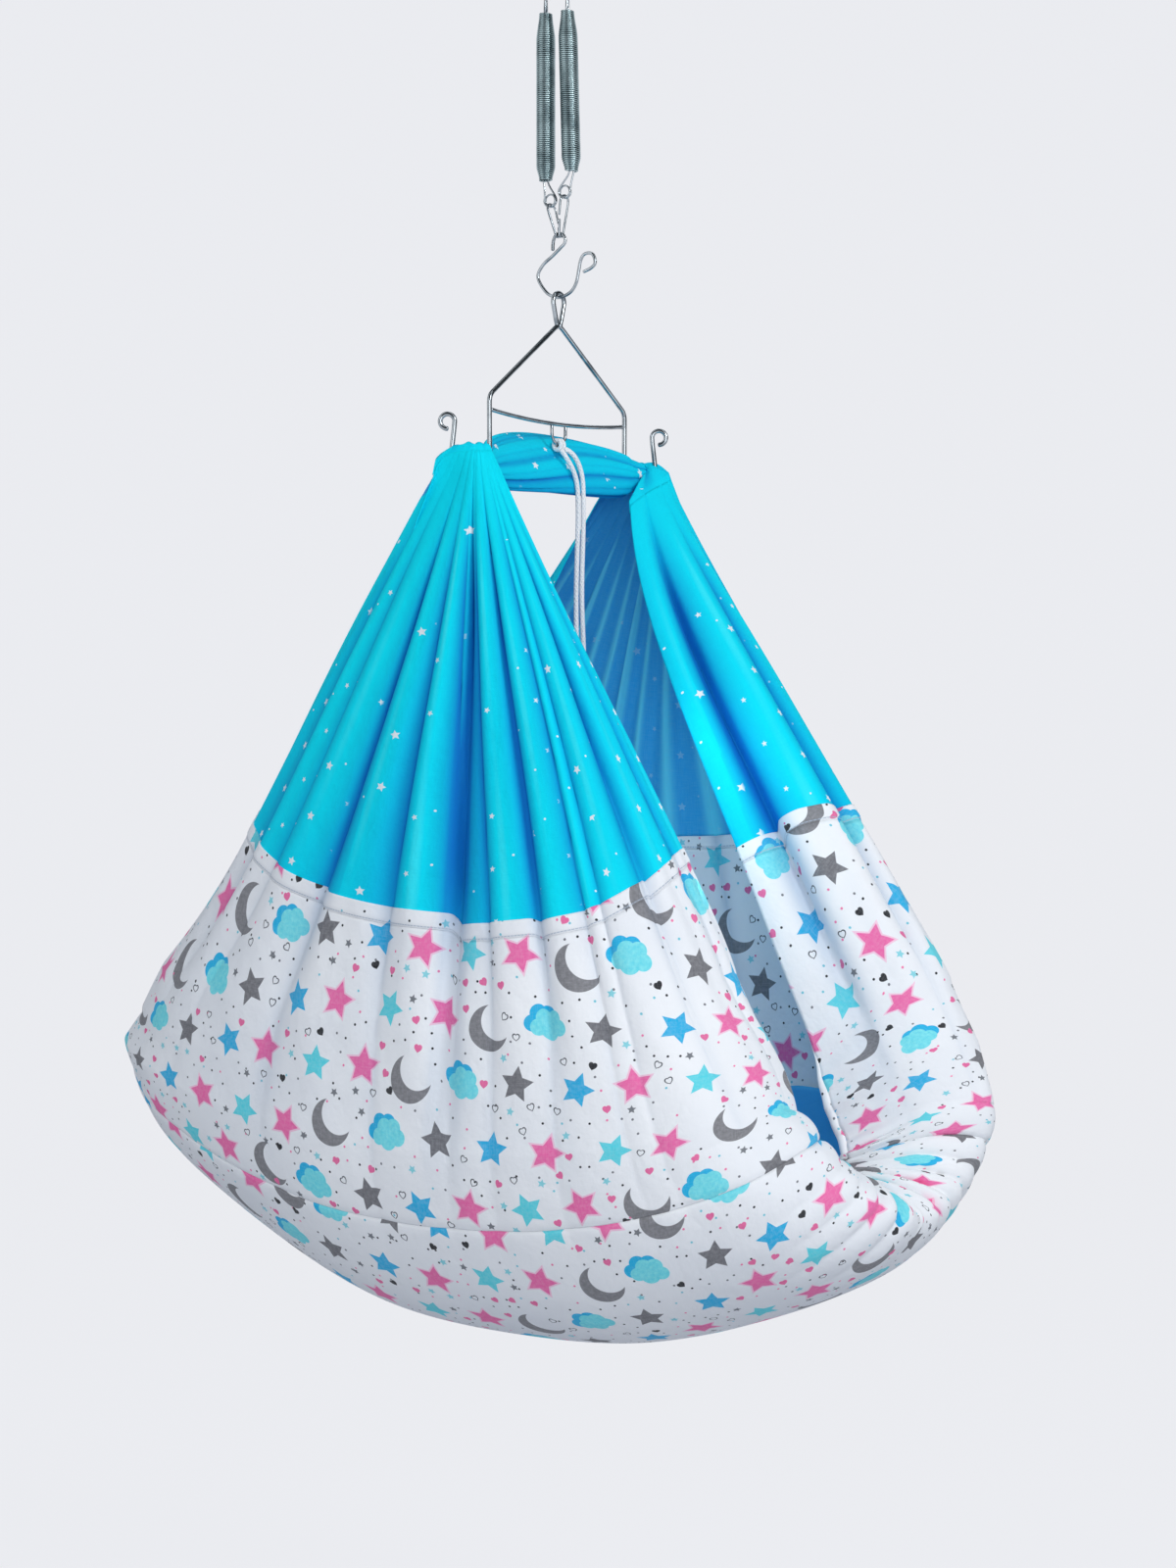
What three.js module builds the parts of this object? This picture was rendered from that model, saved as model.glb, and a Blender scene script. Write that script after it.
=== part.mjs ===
// Hanging baby cradle: an endless loop of cotton hung from a bent rod hanger, which hangs by an S-hook
// and two wire links from a pair of extension springs. Millimetres, +Z up.
// The origin is the hang point, inside the crowns of the two top hooks. X runs along the hanger's
// crossbar and the open front, where the baby goes in, faces -Y.
import * as THREE from "three";

// Clearance between pieces that touch on the real cradle
const seat = 0.3;

// Extension springs and their wire hooks
const springWire = 2.1;
const springDiameter = 20;
const springEndDiameter = 14;
const springTopDepth = 30;
const springCurls = 24;
const springTopTaper = 29;
const springBottomTaper = 15;
const leftSpringLength = 173;
const leftSpringY = 16;
const rightSpringLength = 166;
const rightSpringTopY = -11;
const rightSpringBottomY = -16;
const springs = [
  { name: "left", length: leftSpringLength, topY: leftSpringY, bottomY: leftSpringY },
  { name: "right", length: rightSpringLength, topY: rightSpringTopY, bottomY: rightSpringBottomY },
];
const topHookWire = 2.6;
const topEyeRadius = 6.5;
const topHookReach = 22;
const lowerHookWire = 2;
const lowerHookReach = 9;
const lowerHookFlare = 4.2;
const lowerEyeRadius = 6.3;
const leftEyeY = 10.3;
const rightEyeY = -7.7;
const leftEyeDrop = 20;
const rightEyeDrop = 19.4;
const lowerEyes = [
  { name: "left", y: leftEyeY, depth: springTopDepth + leftSpringLength + leftEyeDrop },
  { name: "right", y: rightEyeY, depth: springTopDepth + rightSpringLength + rightEyeDrop },
];
const strandGap = 0.5;

// Links and S-hook
const linkWire = 2.4;
const linkTopRadius = 7;
const linkBottomRadius = 3.4;
const linkTail = 20;
const linkMouth = 5;
const linkPlay = 0.5;
const linkDrop = 34.5;
const sHookWire = 3.5;
const sHookEyeRadius = 7.5;
const sHookY = -1;
const sHookHeight = 65.1;
const sHookWidth = 70.7;

// Hanger: one bent rod with a loop on top and a J-hook at each end
const rod = 5;
const crownLoopRadius = 9.5;
const crownLoopHeight = 34;
const pinchGap = 0.9;
const legSpacing = 240;
const shoulderDrop = 79.7;
const shoulderRadius = 14;
const legLength = 65.3;
const hookTurn = THREE.MathUtils.degToRad(62.7);
const leftHookSpan = 39;
const rightHookSpan = 33;
const hooks = [
  { name: "left", sign: -1, span: leftHookSpan },
  { name: "right", sign: 1, span: rightHookSpan },
];
const stemLean = 4;
const stemHeight = 39.5;
const curlRadius = 7.3;
const curlSweep = THREE.MathUtils.degToRad(268);

// Crossbar and the bail welded under it
const crossbarRod = 4.4;
const crossbarDrop = 14.3;
const crossbarBow = 6;
const bailWire = 3.4;
const bailWidth = 24;
const bailHeight = 20.5;

// Pull cord, doubled: a hitch round the bail and two strands, each with a knot on its end
const cordDiameter = 5;
const hitchBore = 5.8;
const hitchDiameter = 14.4;
const hitchLength = 10;
const hitchRise = 0.5;
const knotDiameter = 14;
const knotLength = 17;

// Cloth loop
const clothThickness = 1.6;
const leftNeckDepth = 480;
const rightNeckDepth = 492;
const neckDepths = { left: leftNeckDepth, right: rightNeckDepth };
const pouchDepth = 888;
const pouchHalfWidth = 225;
const pouchHalfLength = 470;
const pouchShift = 20;
const pouchTilt = 0.03;
const shoulderWidthShares = [1, 0.987, 0.911, 0.756, 0.467, 0.2, 0.036];
const shoulderLengthShares = [0, 0.309, 0.613, 0.851, 1, 0.904, 0.694];
const shortLengthShares = [0, 0.275, 0.5, 0.64, 0.69, 0.7, 0.694];
const shoulderDropShares = [0.721, 0.714, 0.7, 0.68, 0.667, 0.687, 0.771];
const keelLengthShares = [0, 0.298, 0.585, 0.834, 0.949, 0.872, 0.71];
const keelDropShares = [1, 0.988, 0.941, 0.876, 0.811, 0.783, 0.777];
const sectionPower = 0.9;
const rimGap = 11;
const rimTuck = 15;
const rimTuckShare = 0.3;
const leftFrontSag = -10;
const leftBackSag = -24;
const rightFrontSag = 60;
const rightBackSag = 4;
const sagPower = 4;
const backWaist = 24;
const waistPlaceShare = 0.75;
const frontSags = { left: leftFrontSag, right: rightFrontSag };
const backSags = { left: leftBackSag, right: rightBackSag };
const seamShares = { left: 0.728, right: 0.6 };
const seamRiseShares = { left: 0.167, right: 0.03 };
const seamTiltShares = { left: 0.022, right: 0 };
const seamStripWidth = 14;
const bottomSeamShare = 0.3;
const wallTopShare = 0.012;
const endDropShares = { left: 0.024, right: 0.055 };
const freeEdgeShare = 0.97;
const foldDepth = 9;
const foldCount = 7;

// Gathered band between the hooks, and the bundles that cross the J-hooks
const bandHalfHeight = 31;
const bandHalfThickness = 11;
const bandShear = 0.45;
const bandShift = 9;
const bandDrop = 14.95;
const bandEndHalfHeight = 17;
const bandEndInset = 14;
const bundleHalfHeight = 13;
const bundleHalfThickness = 9.5;
const bundleEndHalfHeight = 11;
const bundleReachShares = { left: 0.8, right: 0.62 };

// Casings and elastics round the front and back mouths of the pouch, and the bedding
const casingDiameter = 9;
const casingBore = 4.6;
const elasticDiameter = 3.6;
const casingTopShare = 0.86;
const padThickness = 24;
const padEdgeShare = 0.5;
const liningThickness = 1.6;
const liningFallShare = 0.95;
const liningLooseness = 4;

const materials = {
  steel: { color: 0xb4bcc0, roughness: 0.28, metalness: 1 },
  zinc: { color: 0xc9ced2, roughness: 0.24, metalness: 1 },
  cyan: { color: 0x12b4e0, roughness: 0.85, metalness: 0 },
  print: { color: 0xe6ebf1, roughness: 0.85, metalness: 0 },
  white: { color: 0xf0f2f4, roughness: 0.9, metalness: 0 },
  lining: { color: 0x2466a8, roughness: 0.9, metalness: 0 },
};
const cradle = new THREE.Group();

function addPiece(name, geometry, look) {
  const mesh = new THREE.Mesh(geometry, new THREE.MeshStandardMaterial(materials[look]));
  mesh.name = name;
  cradle.add(mesh);
}

// A path that is followed point by point, so that straight runs take no steps
class PointPath extends THREE.Curve {
  constructor(points) {
    super();
    this.points = points;
  }
  getPoint(share) {
    const last = this.points.length - 1;
    const place = Math.min(share, 1) * last;
    const index = Math.min(Math.floor(place), last - 1);
    return this.points[index].clone().lerp(this.points[index + 1], place - index);
  }
  getPointAt(share) {
    return this.getPoint(share);
  }
  getTangentAt(share) {
    const last = this.points.length - 1;
    const index = Math.round(share * last);
    const before = this.points[Math.max(index - 1, 0)];
    const after = this.points[Math.min(index + 1, last)];
    const arriving = this.points[index].clone().sub(before).normalize();
    const leaving = after.clone().sub(this.points[index]).normalize();
    return arriving.add(leaving).normalize();
  }
}

function roundSection(diameter, sides) {
  const corners = [];
  for (let i = 0; i < sides; i += 1) {
    const angle = (2 * Math.PI * i) / sides;
    corners.push(new THREE.Vector2(Math.cos(angle), Math.sin(angle)).multiplyScalar(diameter / 2));
  }
  return corners;
}

function tube(points, diameter, sides, bore = 0) {
  const section = new THREE.Shape(roundSection(diameter, sides));
  if (bore > 0) section.holes.push(new THREE.Path(roundSection(bore, sides)));
  return new THREE.ExtrudeGeometry(section, {
    steps: points.length - 1,
    extrudePath: new PointPath(points),
  });
}

function smooth(points, stepsPerSpan) {
  const curve = new THREE.CatmullRomCurve3(points, false, "centripetal");
  return curve.getPoints((points.length - 1) * stepsPerSpan);
}

// Points of an arc about a centre, from one angle to another, in the plane of two directions
function arc(centre, right, up, radius, from, to, steps) {
  const points = [];
  for (let i = 0; i <= steps; i += 1) {
    const angle = from + ((to - from) * i) / steps;
    const point = centre.clone().addScaledVector(right, radius * Math.cos(angle));
    points.push(point.addScaledVector(up, radius * Math.sin(angle)));
  }
  return points;
}

const alongX = new THREE.Vector3(1, 0, 0);
const alongY = new THREE.Vector3(0, 1, 0);
const alongZ = new THREE.Vector3(0, 0, 1);

function at(x, y, z) {
  return new THREE.Vector3(x, y, z);
}

// A closed solid from shared corners and triangles, turned so that its faces point out
function closedSolid(corners, triangles) {
  let volume = 0;
  for (const [a, b, c] of triangles) {
    volume += corners[a].dot(new THREE.Vector3().crossVectors(corners[b], corners[c]));
  }
  const turned = volume < 0 ? triangles.map(([a, b, c]) => [a, c, b]) : triangles;
  const geometry = new THREE.BufferGeometry().setFromPoints(corners);
  geometry.setIndex(turned.flat());
  return geometry;
}

// Rings of equal size joined into one body with flat ends
function loft(rings) {
  const count = rings[0].length;
  const corners = rings.flat();
  const triangles = [];
  for (let ring = 0; ring < rings.length - 1; ring += 1) {
    for (let i = 0; i < count; i += 1) {
      const next = (i + 1) % count;
      const low = ring * count;
      const high = low + count;
      triangles.push([low + i, low + next, high + next], [low + i, high + next, high + i]);
    }
  }
  const end = (rings.length - 1) * count;
  for (let i = 1; i < count - 1; i += 1) {
    triangles.push([0, i + 1, i], [end, end + i, end + i + 1]);
  }
  return closedSolid(corners, triangles);
}

// A sheet with two faces: pointAt gives a point for shares across and down and for a face, 0 or 1
function sheetSolid(columns, rows, pointAt) {
  const corners = [];
  for (const face of [0, 1]) {
    for (let j = 0; j <= rows; j += 1) {
      for (let i = 0; i <= columns; i += 1) corners.push(pointAt(i / columns, j / rows, face));
    }
  }
  const faceSize = (columns + 1) * (rows + 1);
  const corner = (i, j, face) => face * faceSize + j * (columns + 1) + i;
  const triangles = [];
  const quad = (a, b, c, d) => triangles.push([a, b, c], [a, c, d]);
  for (let j = 0; j < rows; j += 1) {
    for (let i = 0; i < columns; i += 1) {
      quad(corner(i, j, 0), corner(i + 1, j, 0), corner(i + 1, j + 1, 0), corner(i, j + 1, 0));
      quad(corner(i, j, 1), corner(i, j + 1, 1), corner(i + 1, j + 1, 1), corner(i + 1, j, 1));
    }
  }
  for (let i = 0; i < columns; i += 1) {
    quad(corner(i, 0, 1), corner(i + 1, 0, 1), corner(i + 1, 0, 0), corner(i, 0, 0));
    quad(corner(i, rows, 0), corner(i + 1, rows, 0), corner(i + 1, rows, 1), corner(i, rows, 1));
  }
  for (let j = 0; j < rows; j += 1) {
    quad(corner(0, j, 0), corner(0, j + 1, 0), corner(0, j + 1, 1), corner(0, j, 1));
    quad(corner(columns, j, 1), corner(columns, j + 1, 1), corner(columns, j + 1, 0), corner(columns, j, 0));
  }
  return closedSolid(corners, triangles);
}

// Springs: a close-wound coil, narrowed at both ends, as one unbroken helix
const curlSteps = 8;
const springSides = 5;

function coilRadius(fromTop, fromBottom) {
  const wide = (springDiameter - springWire) / 2;
  const narrow = (springEndDiameter - springWire) / 2;
  const fromEnds = Math.min(fromTop / springTopTaper, fromBottom / springBottomTaper);
  return narrow + (wide - narrow) * THREE.MathUtils.smoothstep(fromEnds, 0, 1);
}

function springPoints(spring) {
  const top = -springTopDepth - springWire / 2;
  const bottom = -springTopDepth - spring.length + springWire / 2;
  const points = [];
  const total = springCurls * curlSteps;
  for (let i = 0; i <= total; i += 1) {
    const share = i / total;
    const z = top - springWire + (bottom - top + 2 * springWire) * share;
    const radius = coilRadius(top - z, z - bottom);
    const angle = (2 * Math.PI * i) / curlSteps;
    const y = spring.topY + (spring.bottomY - spring.topY) * share;
    points.push(at(radius * Math.cos(angle), y + radius * Math.sin(angle), z));
  }
  const first = points[0].clone().addScaledVector(alongZ, springWire);
  const last = points[points.length - 1].clone().addScaledVector(alongZ, -springWire);
  return [first, ...points, last];
}

// Least clear gap between one curl of the helix and the next, measured on its points
function leastSelfGap(points) {
  let least = Infinity;
  for (let i = 0; i < points.length; i += 1) {
    for (let j = i + curlSteps - 2; j < points.length; j += 1) {
      least = Math.min(least, points[i].distanceTo(points[j]) - springWire);
    }
  }
  return least;
}

for (const spring of springs) {
  const points = springPoints(spring);
  console.log(`spring_${spring.name}: least gap between curls ${leastSelfGap(points).toFixed(2)} mm`);
  addPiece(`spring_${spring.name}`, tube(points, springWire, springSides), "steel");
}

// Top hooks: a hairpin of wire with a round eye, whose two tips flare inside the coil and hold it
const smallWireSides = 6;

function topHook(spring) {
  const strand = (topHookWire + strandGap) / 2;
  const eyeCentre = topHookWire / 2 - topEyeRadius;
  const tip = -springTopDepth - topHookReach;
  const flare = coilRadius(topHookReach, spring.length) - (springWire + topHookWire) / 2 - seat;
  const half = [
    at(flare, spring.topY, tip),
    at(strand, spring.topY, tip + (topHookReach * 2) / 3),
    at(strand, spring.topY, -springTopDepth + springWire),
    at(strand, spring.topY, eyeCentre - topEyeRadius - topHookWire),
    at(topEyeRadius * Math.SQRT1_2, spring.topY, eyeCentre - topEyeRadius * Math.SQRT1_2),
    at(topEyeRadius, spring.topY, eyeCentre),
    at(topEyeRadius * Math.SQRT1_2, spring.topY, eyeCentre + topEyeRadius * Math.SQRT1_2),
  ];
  const crown = at(0, spring.topY, eyeCentre + topEyeRadius);
  const mirrored = half.map((point) => at(-point.x, point.y, point.z)).reverse();
  return tube(smooth([...half, crown, ...mirrored], 3), topHookWire, smallWireSides);
}

// Lower hooks: wire that flares inside the coil and closes in an eye of a turn and two thirds
const lowerEyeTurn = THREE.MathUtils.degToRad(600);
const lowerEyeStart = THREE.MathUtils.degToRad(150);
const lowerEyeSteps = 16;
const eyePitch = lowerHookWire + strandGap;

function lowerHook(spring, eye) {
  const coilEnd = -springTopDepth - spring.length;
  const strand = (lowerHookWire + strandGap) / 2;
  const drift = (eyePitch * lowerEyeTurn) / (2 * Math.PI);
  const points = [];
  points.push(at(-drift / 2, spring.bottomY + lowerHookFlare, coilEnd + lowerHookReach));
  points.push(at(-drift / 2, spring.bottomY + strand, coilEnd));
  for (let i = 0; i <= lowerEyeSteps; i += 1) {
    const share = i / lowerEyeSteps;
    const angle = lowerEyeStart + lowerEyeTurn * share;
    const y = eye.y - lowerEyeRadius * Math.cos(angle);
    points.push(at(drift * (share - 1 / 2), y, lowerEyeRadius * Math.sin(angle) - eye.depth));
  }
  points.push(at(drift / 2, spring.bottomY - strand, coilEnd));
  points.push(at(drift / 2, spring.bottomY - lowerHookFlare, coilEnd + lowerHookReach));
  return tube(points, lowerHookWire, smallWireSides);
}

springs.forEach((spring, index) => {
  addPiece(`top_hook_${spring.name}`, topHook(spring), "zinc");
  addPiece(`lower_hook_${spring.name}`, lowerHook(spring, lowerEyes[index]), "zinc");
});

// S-hook, in the plane of Y and Z: an eye above and an open bowl with a curled tip below.
// The outline's shares are of its width and height, from the middle and the top of the eye.
const sHookTop = -lowerEyes[0].depth - linkDrop;
const sHookShares = [
  [-0.116, 0.246],
  [-0.113, 0.16],
  [-0.1, 0.09],
  [-0.062, 0.022],
  [0, 0],
  [0.062, 0.022],
  [0.1, 0.09],
  [0.094, 0.155],
  [0.037, 0.21],
  [-0.116, 0.338],
  [-0.293, 0.475],
  [-0.379, 0.637],
  [-0.293, 0.828],
  [-0.16, 0.955],
  [0.014, 1],
  [0.202, 0.926],
  [0.291, 0.806],
  [0.335, 0.631],
  [0.373, 0.453],
  [0.424, 0.369],
  [0.499, 0.346],
  [0.58, 0.369],
  [0.621, 0.453],
  [0.621, 0.524],
  [0.552, 0.584],
  [0.431, 0.631],
];
const sHookPoints = sHookShares.map(([side, drop]) =>
  at(0, sHookY - side * sHookWidth, sHookTop - drop * sHookHeight),
);
addPiece("s_hook", tube(smooth(sHookPoints, 2), sHookWire, 8), "zinc");

// Links: long wire loops between a spring's lower eye and the eye of the S-hook
function link(eye, side) {
  const lean = side * (linkWire / 2 + strandGap);
  const topDepth = eye.depth + lowerEyeRadius - (lowerHookWire + linkWire) / 2 - linkPlay;
  const top = at(0, eye.y, -topDepth);
  const eyeCentre = sHookTop - sHookEyeRadius;
  const reach = sHookEyeRadius - (sHookWire + linkWire) / 2 - seat;
  const bottom = at(0, sHookY - lean, eyeCentre + Math.sqrt(reach * reach - lean * lean));
  const down = bottom.clone().sub(top);
  const length = down.length();
  down.normalize();
  const across = alongX.clone().multiplyScalar(side);
  const upward = down.clone().negate();
  const place = (x, drop) => top.clone().addScaledVector(across, x).addScaledVector(down, drop);
  const topCentre = place(0, linkTopRadius);
  const bottomCentre = place(0, length - linkBottomRadius);
  const points = [
    place(-linkTopRadius + strandGap, linkTail),
    ...arc(topCentre, across, upward, linkTopRadius, Math.PI, 0, 8),
    ...arc(bottomCentre, across, upward, linkBottomRadius, 0, -Math.PI, 6),
    place(-(linkTopRadius + linkBottomRadius) / 2, linkTail + linkMouth),
  ];
  return tube(points, linkWire, smallWireSides);
}
lowerEyes.forEach((eye, index) => {
  addPiece(`link_${eye.name}`, link(eye, index === 0 ? -1 : 1), "zinc");
});

// Hanger: from the loop that rides on the bowl of the S-hook down to the two J-hooks
const crownDepth = -sHookTop + sHookHeight - (sHookWire + rod) / 2 - seat;
const pinchDepth = crownDepth + crownLoopHeight;
const shoulderDepth = pinchDepth + shoulderDrop;
const crookDepth = shoulderDepth + legLength;
const legX = legSpacing / 2;

function hookPlan(hook) {
  const leg = at(hook.sign * legX, 0, 0);
  const out = at(hook.sign * Math.cos(hookTurn), -hook.sign * Math.sin(hookTurn), 0);
  const stem = leg.clone().addScaledVector(out, hook.span);
  const outward = at(hook.sign * Math.sin(hookTurn), hook.sign * Math.cos(hookTurn), 0);
  return { leg, out, stem, outward };
}

function hangerHalf(hook) {
  const { leg, out } = hookPlan(hook);
  const across = alongX.clone().multiplyScalar(hook.sign);
  const pinch = at((hook.sign * (rod + pinchGap)) / 2, 0, -pinchDepth);
  const shoulder = at(leg.x, 0, -shoulderDepth);
  const diagonal = shoulder.clone().sub(pinch).normalize();
  const bendStart = shoulder.clone().addScaledVector(diagonal, -shoulderRadius / 2);
  const bendEnd = shoulder.clone().addScaledVector(alongZ, -shoulderRadius / 2);
  const bend = new THREE.QuadraticBezierCurve3(bendStart, shoulder, bendEnd);
  const crook = leg.clone().addScaledVector(out, hook.span / 2).setZ(-crookDepth);
  const curlShift = hook.span - stemLean + curlRadius;
  const curl = leg.clone().addScaledVector(out, curlShift).setZ(-crookDepth + stemHeight);
  const loopCentre = at(0, 0, -crownDepth - crownLoopRadius);
  const loopSide = arc(loopCentre, across, alongZ, crownLoopRadius, Math.PI / 3, -Math.PI / 9, 4);
  const throat = loopCentre.clone().lerp(pinch, 2 / 3).addScaledVector(across, crownLoopRadius / 3);
  return [
    ...loopSide,
    throat,
    pinch,
    pinch.clone().addScaledVector(diagonal, rod),
    ...bend.getPoints(5),
    ...arc(crook, out, alongZ, hook.span / 2, Math.PI, 2 * Math.PI, 9),
    ...arc(curl, out, alongZ, curlRadius, Math.PI, Math.PI - curlSweep, 10),
  ];
}
const crown = at(0, 0, -crownDepth);
const [leftHook, rightHook] = hooks;
const hangerPoints = [...hangerHalf(leftHook).reverse(), crown, ...hangerHalf(rightHook)];
addPiece("hanger_frame", tube(hangerPoints, rod, 8), "zinc");

// Crossbar, welded between the legs and bowed down in the middle, and the bail under it
const crossbarDepth = shoulderDepth + crossbarDrop;
const crossbarEnd = legX - rod / 2 - seat;

function crossbarZ(x) {
  const share = x / crossbarEnd;
  return -crossbarDepth - crossbarBow * (1 - share * share);
}
const crossbarSteps = 8;
const crossbarPoints = [];
for (let i = 0; i <= crossbarSteps; i += 1) {
  const x = crossbarEnd * ((2 * i) / crossbarSteps - 1);
  crossbarPoints.push(at(x, 0, crossbarZ(x)));
}
addPiece("crossbar", tube(crossbarPoints, crossbarRod, 8), "zinc");

const bailRadius = bailWidth / 2;
const bailTop = crossbarZ(bailRadius) - crossbarRod / 2 - seat;
const bailCentre = at(0, 0, bailTop - bailHeight + bailRadius + bailWire / 2);
const bailPoints = [
  at(-bailRadius, 0, bailTop),
  ...arc(bailCentre, alongX, alongZ, bailRadius, -Math.PI, 0, 10),
  at(bailRadius, 0, bailTop),
];
addPiece("cord_bail", tube(bailPoints, bailWire, 8), "zinc");

// Cloth loop. A place on it is a share across, from -1 at the back edge to 1 at the front edge,
// and a share down: 0 at the rim over the J-hook, 1 at the widest line and 2 at the keel.
function halfCurve(widthShares, lengthShares, dropShares) {
  return widthShares.map((share, i) =>
    at(share * pouchHalfWidth, -lengthShares[i] * pouchHalfLength, -dropShares[i] * pouchDepth),
  );
}

function loopCurve(front, back) {
  const mirrored = back.slice(1).reverse();
  for (const point of mirrored) point.y = -point.y;
  return new THREE.CatmullRomCurve3([...mirrored, ...front], false, "catmullrom", 0.5);
}

function shoulderHalf(lengthShares) {
  return halfCurve(shoulderWidthShares, lengthShares, shoulderDropShares);
}

function keelHalf() {
  const noWidthShares = shoulderWidthShares.map(() => 0);
  return halfCurve(noWidthShares, keelLengthShares, keelDropShares);
}
const shoulders = {
  left: loopCurve(shoulderHalf(shortLengthShares), shoulderHalf(shoulderLengthShares)),
  right: loopCurve(shoulderHalf(shoulderLengthShares), shoulderHalf(shoulderLengthShares)),
};
const keelCurve = loopCurve(keelHalf(), keelHalf());

function rimCurve(hook) {
  const { leg, out, stem, outward } = hookPlan(hook);
  const middle = leg.clone().lerp(stem, 1 / 2).addScaledVector(outward, rimGap);
  if (hook.sign < 0) {
    const besideStem = stem.clone().addScaledVector(out, rimGap / 2).addScaledVector(outward, rimGap / 2);
    const besideLeg = leg.clone().addScaledVector(outward, (rimGap * 2) / 3);
    return new THREE.CatmullRomCurve3([besideStem, middle, besideLeg]);
  }
  const behindLeg = leg.clone().addScaledVector(out, -rimGap);
  const pastStem = stem.clone().addScaledVector(out, rimGap);
  const roundStem = pastStem.clone().addScaledVector(outward, rimGap / 2);
  const tucked = stem.clone().lerp(leg, 1 / 2 + rimTuckShare).addScaledVector(outward, -rimTuck);
  return new THREE.CatmullRomCurve3([behindLeg, middle, roundStem, pastStem, tucked]);
}
const rims = { left: rimCurve(leftHook), right: rimCurve(rightHook) };

// The highest value of a share times the cube of what is left of it
const pullPeak = 27 / 256;

function basePoint(hook, across, down) {
  const share = (across + 1) / 2;
  const rim = rims[hook.name].getPoint(share);
  const shoulder = shoulders[hook.name].getPoint(share);
  const keel = keelCurve.getPoint(share);
  shoulder.x *= hook.sign;
  const point = new THREE.Vector3();
  if (down <= 1) {
    const bulge = (down * (1 - down) ** 3) / pullPeak;
    const waist = (down ** 3 * (1 - down)) / pullPeak;
    const sag = across > 0 ? frontSags[hook.name] : backSags[hook.name];
    point.lerpVectors(rim, shoulder, down);
    point.x -= hook.sign * sag * bulge * across ** sagPower;
    if (across < 0) point.y -= backWaist * waist * Math.sin(Math.PI * waistPlaceShare * across) ** 2;
  } else {
    const angle = ((down - 1) * Math.PI) / 2;
    const out = Math.max(Math.cos(angle), 0) ** sectionPower;
    const drop = Math.sin(angle) ** sectionPower;
    point.x = shoulder.x * out;
    point.y = keel.y + (shoulder.y - keel.y) * (1 - Math.sin(angle));
    point.z = shoulder.z + (keel.z - shoulder.z) * drop;
  }
  const settled = Math.min(down, 1);
  point.y += pouchShift * settled;
  const neckDepth = neckDepths[hook.name] * (1 - settled) + neckDepths.right * settled;
  point.z += pouchTilt * point.y * settled - neckDepth;
  return point;
}

// Main folds: they start narrow at the hook, deepen down the wall and fade towards the shoulder
function foldOffset(across, down) {
  const grow = THREE.MathUtils.smoothstep(down, 0, 0.45);
  const fade = 1 - THREE.MathUtils.smoothstep(down, 0.75, 1.35);
  const wave = Math.sin(Math.PI * foldCount * across + 1.2 * Math.sin(3 * across + 0.6));
  return foldDepth * (0.12 + 0.88 * grow) * fade * wave * 0.5;
}

function clothPoint(hook, across, down, inward) {
  const step = 0.004;
  const ahead = down < 1.99 ? 1 : -1;
  const here = basePoint(hook, across, down);
  const side = basePoint(hook, across + (across < 0 ? step : -step), down).sub(here);
  const below = basePoint(hook, across, down + ahead * step).sub(here);
  const normal = new THREE.Vector3().crossVectors(side, below);
  normal.multiplyScalar(ahead * (across < 0 ? 1 : -1) * hook.sign).normalize();
  return here.addScaledVector(normal, foldOffset(across, down) - inward);
}

const wallColumns = 24;

function panel(hook, rows, topOf, bottomOf) {
  return sheetSolid(wallColumns, rows, (acrossShare, downShare, face) => {
    const across = freeEdgeShare * (2 * acrossShare - 1);
    const top = topOf(across);
    const down = top + (bottomOf(across) - top) * downShare;
    return clothPoint(hook, across, down, (face - 1 / 2) * clothThickness);
  });
}

// The line of the seam on a wall: it tilts from the back to the front and rises towards both edges
function seamOf(name) {
  const tilt = seamTiltShares[name];
  const rise = seamRiseShares[name];
  return (across) => seamShares[name] + tilt * across - rise * across * across;
}

// The share down the cloth that a length covers at a place on it
function shareOf(length, hook, across, down) {
  const probe = 0.01;
  const span = basePoint(hook, across, down).distanceTo(basePoint(hook, across, down + probe));
  return (length * probe) / span;
}
const sideSeam = 1 + bottomSeamShare;
const join = 2 * seat;
for (const hook of hooks) {
  const seamLine = seamOf(hook.name);
  const endDrop = endDropShares[hook.name];
  const upperTop = (across) => wallTopShare + endDrop * Math.max(hook.sign * across, 0) ** 4;
  const upperBottom = (across) => seamLine(across) - shareOf(join, hook, across, seamLine(across));
  const stripBottom = (across) => seamLine(across) + shareOf(seamStripWidth, hook, across, seamLine(across));
  const lowerTop = (across) => stripBottom(across) + shareOf(join, hook, across, stripBottom(across));
  const lowerBottom = (across) => sideSeam - shareOf(join, hook, across, sideSeam);
  addPiece(`upper_panel_${hook.name}`, panel(hook, 6, upperTop, upperBottom), "cyan");
  addPiece(`seam_strip_${hook.name}`, panel(hook, 1, seamLine, stripBottom), "white");
  addPiece(`lower_panel_${hook.name}`, panel(hook, 6, lowerTop, lowerBottom), "print");
}

// Bottom panel, across the keel from one side seam to the other. The bedding on it spans whole
// columns and rows of the same grid, counted from the middle.
const bottomRows = 12;
const columnShare = (2 * freeEdgeShare) / wallColumns;
const rowShare = (2 * (1 - bottomSeamShare)) / bottomRows;

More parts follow.
